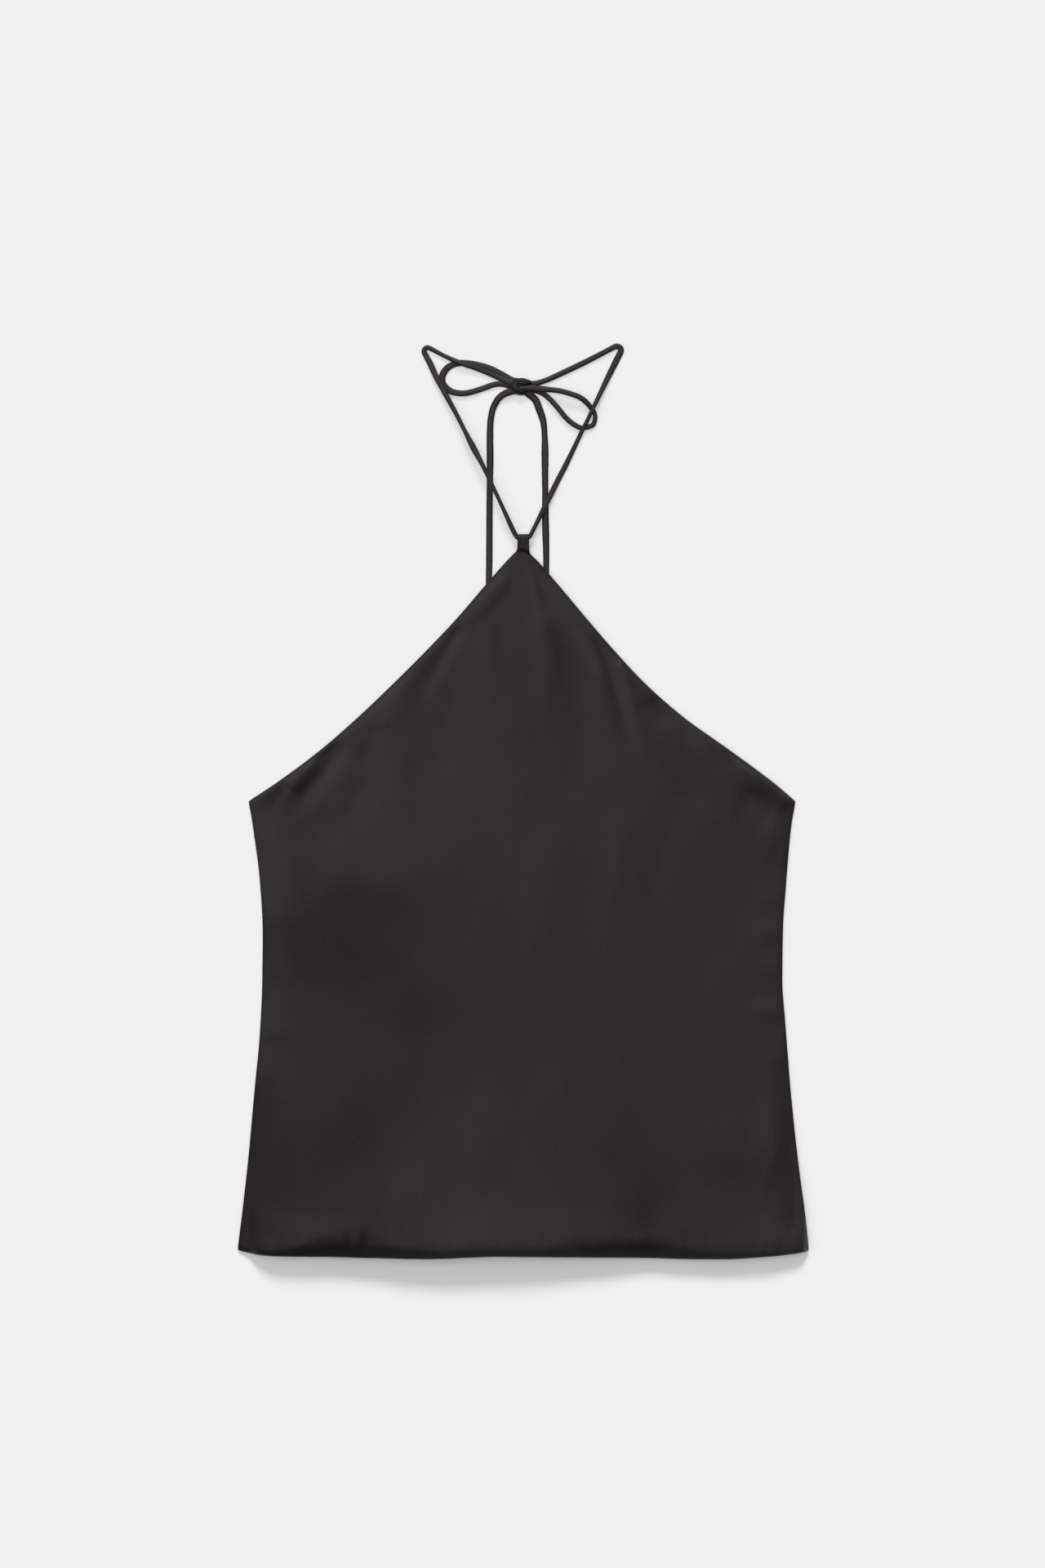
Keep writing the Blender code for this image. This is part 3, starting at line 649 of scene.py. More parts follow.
# across, and the hem there: height of its edge, how far it swings up at the sides,
# the band in which it falls from its crest, and the crest's height
hemPlaces = (
    (-230, 1.4, 7.4, 1.5, 2.1), (-222, 3.9, 5.6, 1.7, 4.9), (-211, 11.2, 4.4, 1.9, 12.2),
    (-200, 14.2, 4, 3, 15.2), (-185, 15, 3.7, 6, 17.2), (-170, 15.4, 3.6, 13, 19.3),
    (-150, 15.1, 3.3, 18, 20.8), (-125, 15.9, 2.7, 22, 21.6), (-113, 16.9, 2.6, 14, 21.6),
    (-100, 18.3, 2.4, 8, 22.1), (-80, 19.5, 2.2, 6, 22.1), (-60, 20.5, 2.8, 4.5, 22.4),
    (-40, 21, 3.8, 5, 22.9), (-20, 20.9, 4.3, 4.5, 22.7), (0, 20, 4, 5, 22), (20, 18.6, 3.7, 6, 21),
    (35, 17.4, 3.4, 12, 20.3), (50, 16.2, 3.1, 14, 19.6), (70, 14.5, 2.8, 15, 18.4),
    (90, 12, 2.4, 16, 16.8), (105, 10.5, 2.1, 15.5, 15.9), (125, 11.5, 1.5, 10.5, 15.3),
    (140, 12, 1.3, 7, 14.8), (160, 12.7, 1.3, 5, 14.2), (200, 13, 3.6, 2, 13.8),
    (211, 11.9, 4.6, 1.8, 12.6), (224, 10.1, 6.2, 1.6, 10.6), (230.1, 3.2, 7, 1.5, 3.6),
)

neckLeft, neckRight = tableCurves(neckCut)
sideLeft, sideRight = tableCurves(sideCut)
edgeLift, leftLift, middleLift, rightLift = tableCurves(liftRows)
hemLift, hemRise, hemBand, hemCrest = tableCurves(hemPlaces)


def hemShare(down):
    start, end = body["waveStart"], body["turnDown"] - body["waveEnd"]
    return np.clip((down - start) / (end - start), 0.0, 1.0) ** body["wavePower"]


def frontEdges(down):
    upper = down <= body["armholeDown"]
    return (np.where(upper, -neckLeft(down), -sideLeft(down)),
            np.where(upper, neckRight(down), sideRight(down)))


def wavy(across, down, breadth, length):
    # smooth noise between about -1 and 1
    return np.array([noise.noise((x / breadth, y / length, breadth)) * 2.0 for x, y in zip(across, down)])


def upFrom(across, down):
    # where a point of the cut lies in the frame; the hem swings up at the sides
    return body["foldUp"] - (down - hemRise(across) * hemShare(down))


def clothGrid(name, places, cloth, material):
    # places and cloth: rows by columns by 3 and by 2, in metres
    rows, columns = places.shape[:2]
    mesh = bpy.data.meshes.new(name)
    index = np.arange(rows * columns).reshape(rows, columns)
    faces = np.stack((index[:-1, :-1], index[1:, :-1], index[1:, 1:], index[:-1, 1:]), axis=-1).reshape(-1, 4)
    mesh.from_pydata(places.reshape(-1, 3).tolist(), [], faces.tolist())
    layer = mesh.uv_layers.new(name="clothMap")
    layer.data.foreach_set("uv", cloth.reshape(-1, 2)[faces.ravel()].astype(np.float32).ravel())
    mesh.shade_smooth()
    return newPiece(name, mesh, material)


def addPaintedShading(piece, shares):
    layer = piece.data.attributes.new("paintedShading", "FLOAT", "POINT")
    layer.data.foreach_set("value", np.asarray(shares, np.float32).ravel())


def addWall(piece, thickness, shares=()):
    # shares: how much of the thickness each point gets
    wall = piece.modifiers.new("wall", "SOLIDIFY")
    if len(shares):
        group = piece.vertex_groups.new(name="fullness")
        for index, share in enumerate(shares):
            group.add([index], float(share), "REPLACE")
        wall.vertex_group = group.name
    wall.thickness = thickness
    wall.offset = 1.0
    wall.use_even_offset = True
    wall.use_rim = True
    return keepMesh(piece)


def flatArea(top, bottom):
    downs = np.linspace(top, bottom, body["areaSteps"])
    left, right = frontEdges(downs)
    wide = right - left
    return float(((wide[1:] + wide[:-1]) / 2 * np.diff(downs)).sum()) * mm * mm


# Front: what ends in Room or Span is where a feature grows from nothing to its full size

front = {
    "neckRoll": 11.0,  # how far in from the neck's edges the cloth rises to its level
    "sideRoll": 20.0,  # the same from the right side seam
    "leftRoll": 36.0,  # and from the left one
    "rollSpan": (body["armholeDown"] - 12, body["armholeDown"] + 18),  # from the neck's roll to the sides'
    "rollShare": 0.8,  # no roll is broader, as a share of the half width
    "rollPower": 2.4,
    "rim": 1.3,  # the underside is never lower, so that it clears the back
    "rimDrop": 0.8,  # but above the armholes it may be, by this much
    "rimSoftness": 0.15,
    "hemTurnPower": 1.6,
    "hemRagged": (0.12, 5.5),  # unevenness of the hem's band: share and breadth
    "routeStep": 4.0,
    "neckFoldRoom": (-2.0, 8.0),  # in from the neck's edges
    "neckFoldEnd": (body["turnDown"] - 20, body["turnDown"]),  # where the folds fade away
    "bodyFoldEnd": (body["turnDown"] - 36, body["turnDown"]),
    "puckerRoom": (0.0, 5.0),
    "puckerSpan": (body["armholeDown"], body["armholeDown"] + 15),
    "puckerSlant": 0.12,
    "puckerBreadth": (10.0, 7.0),  # towards the neck and towards the hem
    "uneven": ((0.3, 36.0, 46.0), (0.036, 12.0, 15.0)),  # of lying cloth: height, breadth and length
    "unevenRoom": (0.0, 25.0),
    "ripple": (0.24, 5.0, 16.0),  # of the stitched hem
    "rippleRoom": (0.0, 8.0),
    "rippleSpan": (body["turnDown"] - 22, body["turnDown"] - 4),
    "edgeRound": 1.5,  # the turned edges
    "edgeDrop": 0.9,
    "edgeDropSpan": (body["armholeDown"] + 10, body["armholeDown"] - 10),
    "edgeShade": 0.8,  # painted shade along them, as a share of the colour
    "edgeShadeReach": 1.2,
    "floorGap": 0.1,
    "curl": 2.4,  # of the hem
    "curlAngle": 75.0,  # degrees
    "curlSteps": 6,
    "neckRows": 150,
    "sideRows": 104,
    "columns": 168,
    "crowding": (1.15, 1.2, 1.25),  # of the rows towards the tip and the hem, and of the columns
}

# Soft folds, in mm. Each follows a route of (across, down) points; its flanks reach to the neck's side and to
# the hem's side. A height below 0 is a trough. It may spread, and fade in and out, along its route.
Fold = namedtuple("Fold", "name route neckSide hemSide height spread fadeIn fadeOut", defaults=(1, 0, 0))
neckFolds = (
    Fold("left roll by the strap", ((-10, 30), (-17, 42), (-27, 54), (-38, 65), (-46, 72)),
         7, 5, 0.8, 1.3, 0.3, 0.3),
    Fold("left dip below the roll", ((-49, 72), (-57, 87), (-66, 102), (-76, 118), (-84, 134), (-92, 158)),
         5.5, 5, -1.3, 1.8, 0.1, 0.6),
    Fold("left roll of the edge", ((-82, 112), (-95, 128), (-109, 145), (-121, 158), (-131, 170)),
         8, 12, 0.9, 1.2, 0.3, 0.4),
    Fold("left streak", ((-118, 152), (-122, 166), (-127, 182), (-131, 200)), 5, 6, -0.7, 1.8, 0.2, 0.6),
    Fold("left long dip", ((-143, 164), (-151, 176), (-160, 190), (-170, 204), (-181, 218), (-193, 236)),
         10, 8, -2.1, 1.3, 0.2, 0.35),
    Fold("left roll at the armhole", ((-160, 181), (-171, 190), (-181, 199), (-189, 209), (-196, 222)),
         6, 6, 1.4, 1.2, 0.3, 0.4),
    Fold("left corner dip", ((-188, 202), (-197, 213), (-206, 222), (-214, 230)),
         7, 8, -1.4, 1.2, 0.1, 0.5),
    Fold("crease right of the point", ((5, 27), (8, 38), (11, 50), (14, 64), (18, 80), (24, 104)),
         2.6, 2.6, 0.6, 2.2, 0.2, 0.6),
    Fold("right roll by the strap", ((12, 32), (22, 45), (33, 58), (44, 72), (52, 84)),
         8, 12, 1.2, 1.2, 0.45, 0.4),
    Fold("right first dip", ((57, 80), (64, 94), (70, 110), (76, 130), (82, 156), (89, 188)),
         4, 4.5, -1.7, 1.5, 0.1, 0.6),
    Fold("right sharp ridge", ((76, 98), (80, 108), (84, 120), (88, 136), (94, 156), (101, 186)),
         6, 2.4, 1.3, 1.8, 0.1, 0.6),
    Fold("right dark pleat", ((101, 129), (107, 138), (113, 148), (120, 161)),
         4.5, 10, -1.2, 1.3, 0.3, 0.5),
    Fold("right roll at the armhole",
         ((158, 178), (172, 188), (185, 196.5), (198, 205.5), (209, 214), (217, 220)),
         7, 11, 2.7, 1, 0.5, 0.1),
    Fold("right dip under the roll", ((172, 209), (186, 216), (200, 223), (211, 231)),
         8, 15, -1.3, 1.1, 0.3, 0.3),
    Fold("over the left tail", ((-27, 52), (-27, 78), (-25, 103), (-24, 125), (-24, 145)),
         9, 9, 0.7, 1, 0.3, 0.4),
    Fold("over the right tail", ((19, 50), (19, 75), (21, 97), (22, 120), (21, 150)),
         9, 11, 1.1, 1, 0.3, 0.5),
)
bodyFolds = (
    Fold("right shoulder of the side", ((128, 214), (150, 227), (172, 237), (190, 248), (207, 258)),
         16, 13, 1, 0.9, 0.4, 0.1),
    Fold("left high ground", ((-214, 292), (-150, 286), (-90, 289), (-36, 300)),
         60, 50, 3.4, 0.9, 0.1, 0.5),
    Fold("left side light", ((-212, 262), (-190, 268), (-165, 270)), 14, 20, 0.8, 1, 0.2, 0.5),
    Fold("belly dip", ((-20, 450), (-70, 466), (-105, 486), (-135, 512), (-175, 540), (-215, 560)),
         50, 40, -3, 1, 0.4, 0.1),
    Fold("right waist hump", ((60, 268), (85, 270), (112, 276)), 50, 30, 0.8, 1, 0.4, 0.4),
    Fold("right hem hump", ((96, 508), (140, 498), (190, 498), (214, 503)), 34, 28, 2, 1, 0.4, 0.1),
    Fold("right low dip", ((90, 546), (118, 548), (140, 552)), 20, 20, -1.2, 1, 0.4, 0.4),
    Fold("chest fall at the middle", ((-8, 60), (-12, 110), (-14, 170), (-16, 240)),
         14, 12, 0.7, 1.6, 0.3, 0.5),
    Fold("chest fall on the left", ((-84, 150), (-96, 180), (-104, 215), (-108, 255)),
         14, 14, 1, 1.4, 0.4, 0.5),
    Fold("left chest hollow", ((-44, 90), (-58, 135), (-68, 185), (-74, 240)), 14, 14, -1, 1.4, 0.3, 0.5),
    Fold("left outer hollow", ((-122, 190), (-134, 215), (-140, 245)), 9, 9, -0.8, 1.5, 0.4, 0.5),
    Fold("right chest hollow", ((36, 80), (44, 125), (50, 175), (54, 230)), 15, 15, -1.1, 1.5, 0.3, 0.5),
    Fold("waist fall", ((10, 260), (16, 310), (12, 370), (20, 430)), 20, 22, 0.35, 1.3, 0.4, 0.5),
)
# painted light and shade: places where the colour is darkened or lightened to stand in for shading and a
# seam's shadow; the height is a share of its colour
paintedShadingPlaces = (
    Fold("left waist shade", ((-212, 330), (-190, 326), (-160, 318)), 28, 34, -0.24),
    Fold("under the loop", ((-4.4, 14.6), (0, 14.6), (4.8, 16.8)), 1.8, 1.1, -0.95),
    Fold("left waist core", ((-142, 292), (-108, 296)), 16, 26, -0.42),
    Fold("shade below it", ((-150, 348), (-110, 370), (-74, 392)), 32, 30, -0.2),
    Fold("waist edge calm", ((-142, 336), (-100, 344)), 20, 18, -0.14),
    Fold("diagonal shade", ((-80, 440), (-115, 460), (-150, 492)), 30, 30, -0.09),
    Fold("left low side", ((-214, 462), (-217, 500), (-220, 528)), 26, 22, -0.5),
    Fold("low left calm", ((-218, 568), (-160, 562)), 120, 60, -0.68, 0.9),
    Fold("left hem corner calm", ((-208, 560), (-196, 566)), 10, 10, -0.22),
    Fold("right low calm", ((-85, 505), (60, 490), (140, 500)), 90, 70, -0.21),
    Fold("left middle calm", ((-150, 375), (-55, 385)), 60, 60, -0.18),
    Fold("waist calm", ((-40, 318), (0, 328)), 40, 30, -0.14),
    Fold("left waist side", ((-214, 322), (-196, 330)), 20, 22, -0.3),
    Fold("right low shade", ((160, 500), (205, 520)), 18, 18, -0.08),
    Fold("right low hollow", ((66, 500), (116, 502)), 22, 20, -0.17),
    Fold("low middle calm", ((-62, 508), (-30, 514)), 24, 22, -0.15),
    Fold("right far edge light", ((220, 440), (226, 500), (229, 560)), 7, 7, 0.55),
    Fold("light at the right hem corner", ((202, 562), (216, 570)), 10, 10, 0.3),
    Fold("right side light", ((213, 262), (209, 330), (212, 430)), 9, 9, 0.28, 1, 0.1, 0.2),
    Fold("shade over the right band", ((90, 551), (105, 557), (122, 564)), 24, 14, -0.26),
    Fold("darkest of the hem band", ((36, 578.5), (60, 578.5), (100, 577.5), (122, 577)),
         6, 4, -0.5, 1, 0.2, 0.2),
    Fold("right waist shade", ((74, 284), (90, 288), (108, 284)), 18, 16, -0.1, 1, 0.4, 0.4),
    Fold("low light", ((-120, 548), (-60, 556), (0, 560), (40, 556)), 26, 22, 0.1, 1, 0.3, 0.4),
    Fold("left shoulder shade", ((-196, 236), (-176, 256), (-150, 262)), 20, 20, -0.22, 1, 0.3, 0.4),
    Fold("right pleat shade", ((103, 130), (109, 140), (116, 152)), 4, 4.5, -0.3, 1.3, 0.1, 0.4),
    Fold("left far light ray", ((-139, 162), (-146, 182), (-155, 208)), 3, 3.4, 0.14, 1.6, 0.1, 0.5),
    Fold("right dark ray", ((56, 82), (64, 102), (71, 130), (78, 168)), 3.2, 3.4, -0.2, 1.4, 0.1, 0.5),
    Fold("right light ray", ((75, 99), (79, 116), (84, 136), (92, 168)), 2.4, 2.6, 0.3, 1.8, 0.1, 0.6),
    Fold("left light ray", ((-52, 78), (-58, 100), (-70, 128), (-80, 165)), 3.5, 4, 0.04, 2, 0.1, 0.6),
    Fold("left outer light", ((-90, 126), (-102, 138), (-118, 154), (-134, 170)), 8, 8, 0.2, 1, 0.2, 0.2),
    Fold("right of the middle", ((30, 80), (33, 130), (36, 190)), 11, 11, -0.1, 1.2, 0.3, 0.4),
    Fold("middle streak", ((4, 30), (5, 70), (6, 120)), 5, 5, 0.07, 1.6, 0.2, 0.5),
    Fold("left corner shade", ((-192, 204), (-206, 213), (-216, 219)), 5, 6, -0.22, 1, 0.2, 0.1),
    Fold("left armhole shade", ((-163, 186), (-175, 200), (-185, 212), (-192, 222), (-197, 231)),
         5, 7, -0.3, 1, 0.5, 0.2),
    Fold("left armhole light", ((-182, 193), (-189, 204), (-196, 218)), 3, 3, 0.22, 1, 0.3, 0.3),
    Fold("left shoulder calm", ((-196, 226), (-150, 228)), 14, 14, -0.3),
    Fold("right armhole shade", ((168, 190), (184, 201), (203, 213)), 7, 8, -0.22, 1, 0.3, 0.3),
    Fold("right armhole line", ((183, 192), (194, 202), (204, 212), (213, 224)), 3, 3, -0.3, 1, 0.3, 0.2),
    Fold("calm at the right roll", ((160, 176), (172, 185)), 5, 7, -0.3, 1, 0.2, 0.2),
    Fold("right edge light", ((20, 46), (34, 58), (49, 72), (66, 91)), 6, 7, 0.24, 1, 0.3, 0.1),
    Fold("right ray light", ((36, 74), (48, 90), (60, 108), (70, 124)), 7, 7, 0.42, 1, 0.2, 0.3),
    Fold("light past the right roll", ((28, 68), (42, 76)), 7, 8, 0.3),
    Fold("right chest light", ((128, 156), (140, 170), (152, 182)), 6, 7, 0.34, 1, 0.3, 0.4),
    Fold("right chest shade", ((112, 178), (124, 196), (134, 214)), 7, 8, -0.16, 1.3, 0.2, 0.4),
    Fold("right side shade", ((150, 228), (166, 250), (178, 276)), 9, 9, -0.12, 1.4, 0.2, 0.4),
    Fold("right shoulder shade", ((156, 222), (182, 234)), 9, 9, -0.18),
    Fold("middle dark ray", ((14, 40), (22, 66), (30, 100), (36, 130)), 4, 4, -0.12, 1.8, 0.1, 0.5),
    Fold("left middle dark ray", ((-14, 44), (-22, 76), (-30, 116), (-38, 160)),
         5, 5, -0.08, 1.8, 0.2, 0.5),
    Fold("left second dark ray", ((-43, 116), (-47, 150), (-50, 186)), 6, 6, -0.15, 1.3, 0.2, 0.4),
)
# short puckers along the side seams: down, reach and height
rightPuckers = (
    (262, 14, 0.8), (293, 16, 1), (322, 20, 1.3), (350, 16, 1), (384, 22, 1.4), (424, 18, 0.8),
    (466, 16, 0.7),
)
leftPuckers = (
    (246, 18, 0.7), (309, 20, 0.9), (352, 18, 0.7), (402, 22, 1), (438, 18, 0.8),
)


def foldsHeight(folds, across, down):
    # a bell across each fold's route, swelling and fading along it
    total = np.zeros_like(across)
    for fold in folds:
        route = smoothRoute(fold.route, front["routeStep"])
        runs = np.diff(route, axis=0)
        lengths = np.linalg.norm(runs, axis=1)
        before = lengthAlong(route)
        best = np.full(across.shape, np.inf)
        share = np.zeros_like(across)
        turned = np.zeros_like(across)
        for start, run, length, gone in zip(route, runs, lengths, before):
            offX, offY = across - start[0], down - start[1]
            t = np.clip((offX * run[0] + offY * run[1]) / length ** 2, 0.0, 1.0)
            aside = np.hypot(offX - t * run[0], offY - t * run[1])
            nearer = aside < best
            best = np.where(nearer, aside, best)
            share = np.where(nearer, (gone + t * length) / before[-1], share)
            # 1 straight on the neck's side of the route, 0 on the hem's side, between them past its ends
            beside = (run[1] * offX - run[0] * offY) / length * (1 if run[0] > 0 else -1)
            turned = np.where(nearer, 0.5 + 0.5 * beside / np.maximum(aside, 0.01), turned)
        grown = 1 + (fold.spread - 1) * share
        turned = np.clip(turned, 0.0, 1.0)
        reach = (fold.hemSide + (fold.neckSide - fold.hemSide) * turned) * grown
        swell = np.ones_like(share)
        if fold.fadeIn:
            swell = swell * ease(0.0, fold.fadeIn, share)
        if fold.fadeOut:
            swell = swell * (1 - ease(1 - fold.fadeOut, 1.0, share))
        total += fold.height * swell * np.exp(-((best / reach) ** 2))
    return total


def puckersHeight(puckers, fromSeam, down):
    # each pucker is a small ridge that leaves the seam and dies out inwards
    total = np.zeros_like(down)
    up, low = front["puckerBreadth"]
    for middle, reach, height in puckers:
        off = down - middle - front["puckerSlant"] * fromSeam
        bell = np.exp(-((off / np.where(off < 0, up, low)) ** 2))
        total += height * bell * np.exp(-((fromSeam / reach) ** 2))
    return total


def frontLift(across, down):
    # height of the front's underside, in mm
    left, right = frontEdges(np.minimum(down, body["hemDown"]))
    half = 0.5 * (right - left)
    u = (across - 0.5 * (left + right)) / half
    t = np.clip(np.abs(u), 0.0, 1.0)
    nearEdge = (1.0 - t) * half
    side = np.where(u < 0, leftLift(down), rightLift(down))
    level = middleLift(down) + (side - middleLift(down)) * t * t * (3 - 2 * t)
    rim = edgeLift(down)
    below = ease(*front["rollSpan"], down)
    sideRoll = np.where(u < 0, front["leftRoll"], front["sideRoll"])
    roll = front["neckRoll"] + (sideRoll - front["neckRoll"]) * below
    inside = 1.0 - np.minimum(nearEdge / np.minimum(roll, front["rollShare"] * half), 1.0)
    bulge = 1.0 - inside ** front["rollPower"]
    height = rim + (level - rim) * bulge
    # towards the hem it rises to a crest and turns down in a band
    crest = rim + (hemCrest(across) - rim) * np.maximum(bulge, hemShare(down))
    height = height + (crest - height) * hemShare(down)
    share, breadth = front["hemRagged"]
    band = hemBand(across) * (1.0 + share * wavy(across, np.zeros_like(across), breadth, 1.0))
    turned = np.clip(1.0 - (body["turnDown"] - down) / band, 0.0, 1.0) ** front["hemTurnPower"]
    height = height - (hemCrest(across) - hemLift(across)) * turned
    # folds, puckers, small unevenness of lying cloth, and the ripples of the stitched hem
    room = bulge * below + ease(*front["neckFoldRoom"], nearEdge) * (1 - below)
    room = room * (1 - ease(*front["neckFoldEnd"], down))
    height = height + foldsHeight(neckFolds, across, down) * room
    room = bulge * (1 - ease(*front["bodyFoldEnd"], down))
    height = height + foldsHeight(bodyFolds, across, down) * room
    room = ease(*front["puckerRoom"], nearEdge) * ease(*front["puckerSpan"], down)
    height = height + puckersHeight(rightPuckers, right - across, down) * room
    height = height + puckersHeight(leftPuckers, across - left, down) * room
    room = ease(*front["unevenRoom"], nearEdge)
    for high, breadth, length in front["uneven"]:
        height = height + high * room * wavy(across, down, breadth, length)
    room = ease(*front["rippleSpan"], down) * ease(*front["rippleRoom"], nearEdge)
    high, breadth, length = front["ripple"]
    height = height + high * room * wavy(across, down, breadth, length)
    # never lower than the back panel, or above it the floor
    lowest = front["rim"] - front["rimDrop"] * (1 - below)
    over = height - lowest
    return lowest + 0.5 * (over + np.sqrt(over ** 2 + front["rimSoftness"] ** 2))


def makeFront():
    tip, corner, turn = body["tipDown"], body["armholeDown"], body["turnDown"]
    tipCrowding, hemCrowding, edgeCrowding = front["crowding"]
    shares = np.arange(front["neckRows"]) / front["neckRows"]
    downs = list(tip + (corner - tip) * shares ** tipCrowding)
    shares = np.arange(front["sideRows"] + 1) / front["sideRows"]
    downs += list(corner + (turn - corner) * (1 - (1 - shares) ** hemCrowding))
    u = crowded(front["columns"] + 1, edgeCrowding)
    rows, cloth, paintedLightAndShade = [], [], []
    for down in downs:
        left, right = frontEdges(down)
        across = 0.5 * (left + right) + 0.5 * (right - left) * u
        level = np.full_like(across, down)
        height = frontLift(across, level)
        edge = np.minimum(across - left, right - across)
        # the cut edge is turned in, so the cloth rounds off there
        near = np.clip(1 - edge / front["edgeRound"], 0.0, 1.0)
        drop = front["edgeDrop"] * (1 - np.sqrt(1 - near ** 2)) * ease(*front["edgeDropSpan"], down)
        height = np.maximum(height - drop, front["floorGap"])
        # painted shade along the edges, with the painted light and shade of the places table
        paintedEdgeShade = front["edgeShade"] * np.exp(-edge / front["edgeShadeReach"])
        paintedLightAndShade.append(foldsHeight(paintedShadingPlaces, across, level) - paintedEdgeShade)
        rows.append(np.stack((across, upFrom(across, down), height), axis=-1))
        cloth.append(np.stack((across, -level), axis=-1))
    # the hem curls down
    lowest = frontLift(across, np.full_like(across, turn))
    whole = math.radians(front["curlAngle"])
    for step in range(1, front["curlSteps"] + 1):
        angle = whole * step / front["curlSteps"]
        down = turn + (body["hemDown"] - turn) * math.sin(angle) / math.sin(whole)
        left, right = frontEdges(down)
        across = 0.5 * (left + right) + 0.5 * (right - left) * u
        room = np.maximum(lowest - front["rim"], 0.0)
        height = lowest - np.minimum(front["curl"], room) * (1 - math.cos(angle))
        rows.append(np.stack((across, upFrom(across, down), height), axis=-1))
        cloth.append(np.stack((across, np.full_like(across, -down)), axis=-1))
        paintedLightAndShade.append(paintedLightAndShade[-1])
    piece = clothGrid("frontPanel", np.array(rows) * mm, np.array(cloth) * mm, frontSatin)
    addPaintedShading(piece, paintedLightAndShade)
    return addWall(piece, body["wall"] * mm)


frontPanel = makeFront()
print("front made")


# Back: the same cut up to a scoop between the armholes, flat but for soft creases

back = {
    "topDown": body["armholeDown"] + 1.5,  # at the side seams
    "scoop": 14.0,
    "meanTopDown": 228.0,
    "hemDown": body["turnDown"] - 0.5,
    "sideGap": 0.8,  # in from the front's side seams
    "crease": 0.9,  # height, breadth and length of the soft creases
    "creaseBreadth": 34.0,
    "creaseLength": 90.0,
    "sideRoom": (4.0, 40.0),  # in from the side seams, where they grow to their full size
    "topRoom": (4.0, 30.0),
    "rows": 100,
    "columns": 100,
    "crowding": 1.2,
}


def makeBack():
    rows, cloth = [], []
    u = crowded(back["columns"] + 1, back["crowding"])
    top = back["topDown"] + back["scoop"] * (1 - u * u)
    for t in np.linspace(0.0, 1.0, back["rows"]):
        down = top + (back["hemDown"] - top) * t
        left, right = frontEdges(down)
        across = 0.5 * (left + right) + u * (0.5 * (right - left) - back["sideGap"])
        inside = ease(*back["sideRoom"], np.minimum(across - left, right - across))
        inside = inside * ease(*back["topRoom"], down - top)
        creases = 0.5 + 0.5 * wavy(across, down, back["creaseBreadth"], back["creaseLength"])
        height = back["crease"] * inside * creases ** 2
        rows.append(np.stack((across, upFrom(across, down), height), axis=-1))
        cloth.append(np.stack((across, -down), axis=-1))
    piece = clothGrid("backPanel", np.array(rows) * mm, np.array(cloth) * mm, backSatin)
    return addWall(piece, body["wall"] * mm)


backPanel = makeBack()
dress(frontPanel, "front_satin", "front_panel")
dress(backPanel, "back_satin", "back_panel")
flatArea(body["tipDown"], body["hemDown"])
flatArea(back["meanTopDown"], back["hemDown"])
print("back made")


# Strap loop: a strip doubled over the tie

loopSizes = {  # mm
    "width": 9.4,
    "centre": 0.3,
    "tieUp": 289.6,  # the middle of the tie in it
    "tieHeight": 5.6,
    "inner": 2.3,  # half the room for the tie, along the cloth and upwards
    "innerHeight": 1.45,
    "closed": 0.62,  # half the gap between the layers at the seam
    "throat": 7.0,  # from the tie to where they close
    "seamUp": 279.7,
    "seamHeight": 4.7,
    "seamSlant": 0.2,  # the seam falls towards the right
    "seamBend": 0.04,
    "flare": 0.5,
    "wall": 0.9,
    "thin": 0.3,  # share of the wall along the folded edges
    "edgeRound": 1.3,
    # painted shade of the strip: along its edges, over the top of its fold and at the seam
    "edgeShade": 0.85,
    "seamShade": 0.9,
    "foldShadePower": 6,
    "columns": 32,
    "arcSteps": 24,
    "alongSteps": 16,
    "crowding": 1.3,
}


def loopProfile():
    # (up, height from the middle) along the strip: over the tie's top, round its fold and back below it
    size = loopSizes
    high, closed, steps = size["innerHeight"], size["closed"], size["alongSteps"]
    throatUp = size["tieUp"] - size["throat"]
    line = []
    for t in np.linspace(0.0, 1.0, steps, endpoint=False):
        line.append((size["seamUp"] + (throatUp - size["seamUp"]) * t, closed))
    for t in np.linspace(0.0, 1.0, steps, endpoint=False):
        line.append((throatUp + size["throat"] * t, closed + (high - closed) * float(ease(0.0, 1.0, t))))
    arc = []
    for k in range(size["arcSteps"] + 1):
        angle = math.pi / 2 - math.pi * k / size["arcSteps"]
        arc.append((size["tieUp"] + size["inner"] * math.cos(angle), high * math.sin(angle)))
    return np.array(line + arc + [(up, -z) for up, z in reversed(line)])


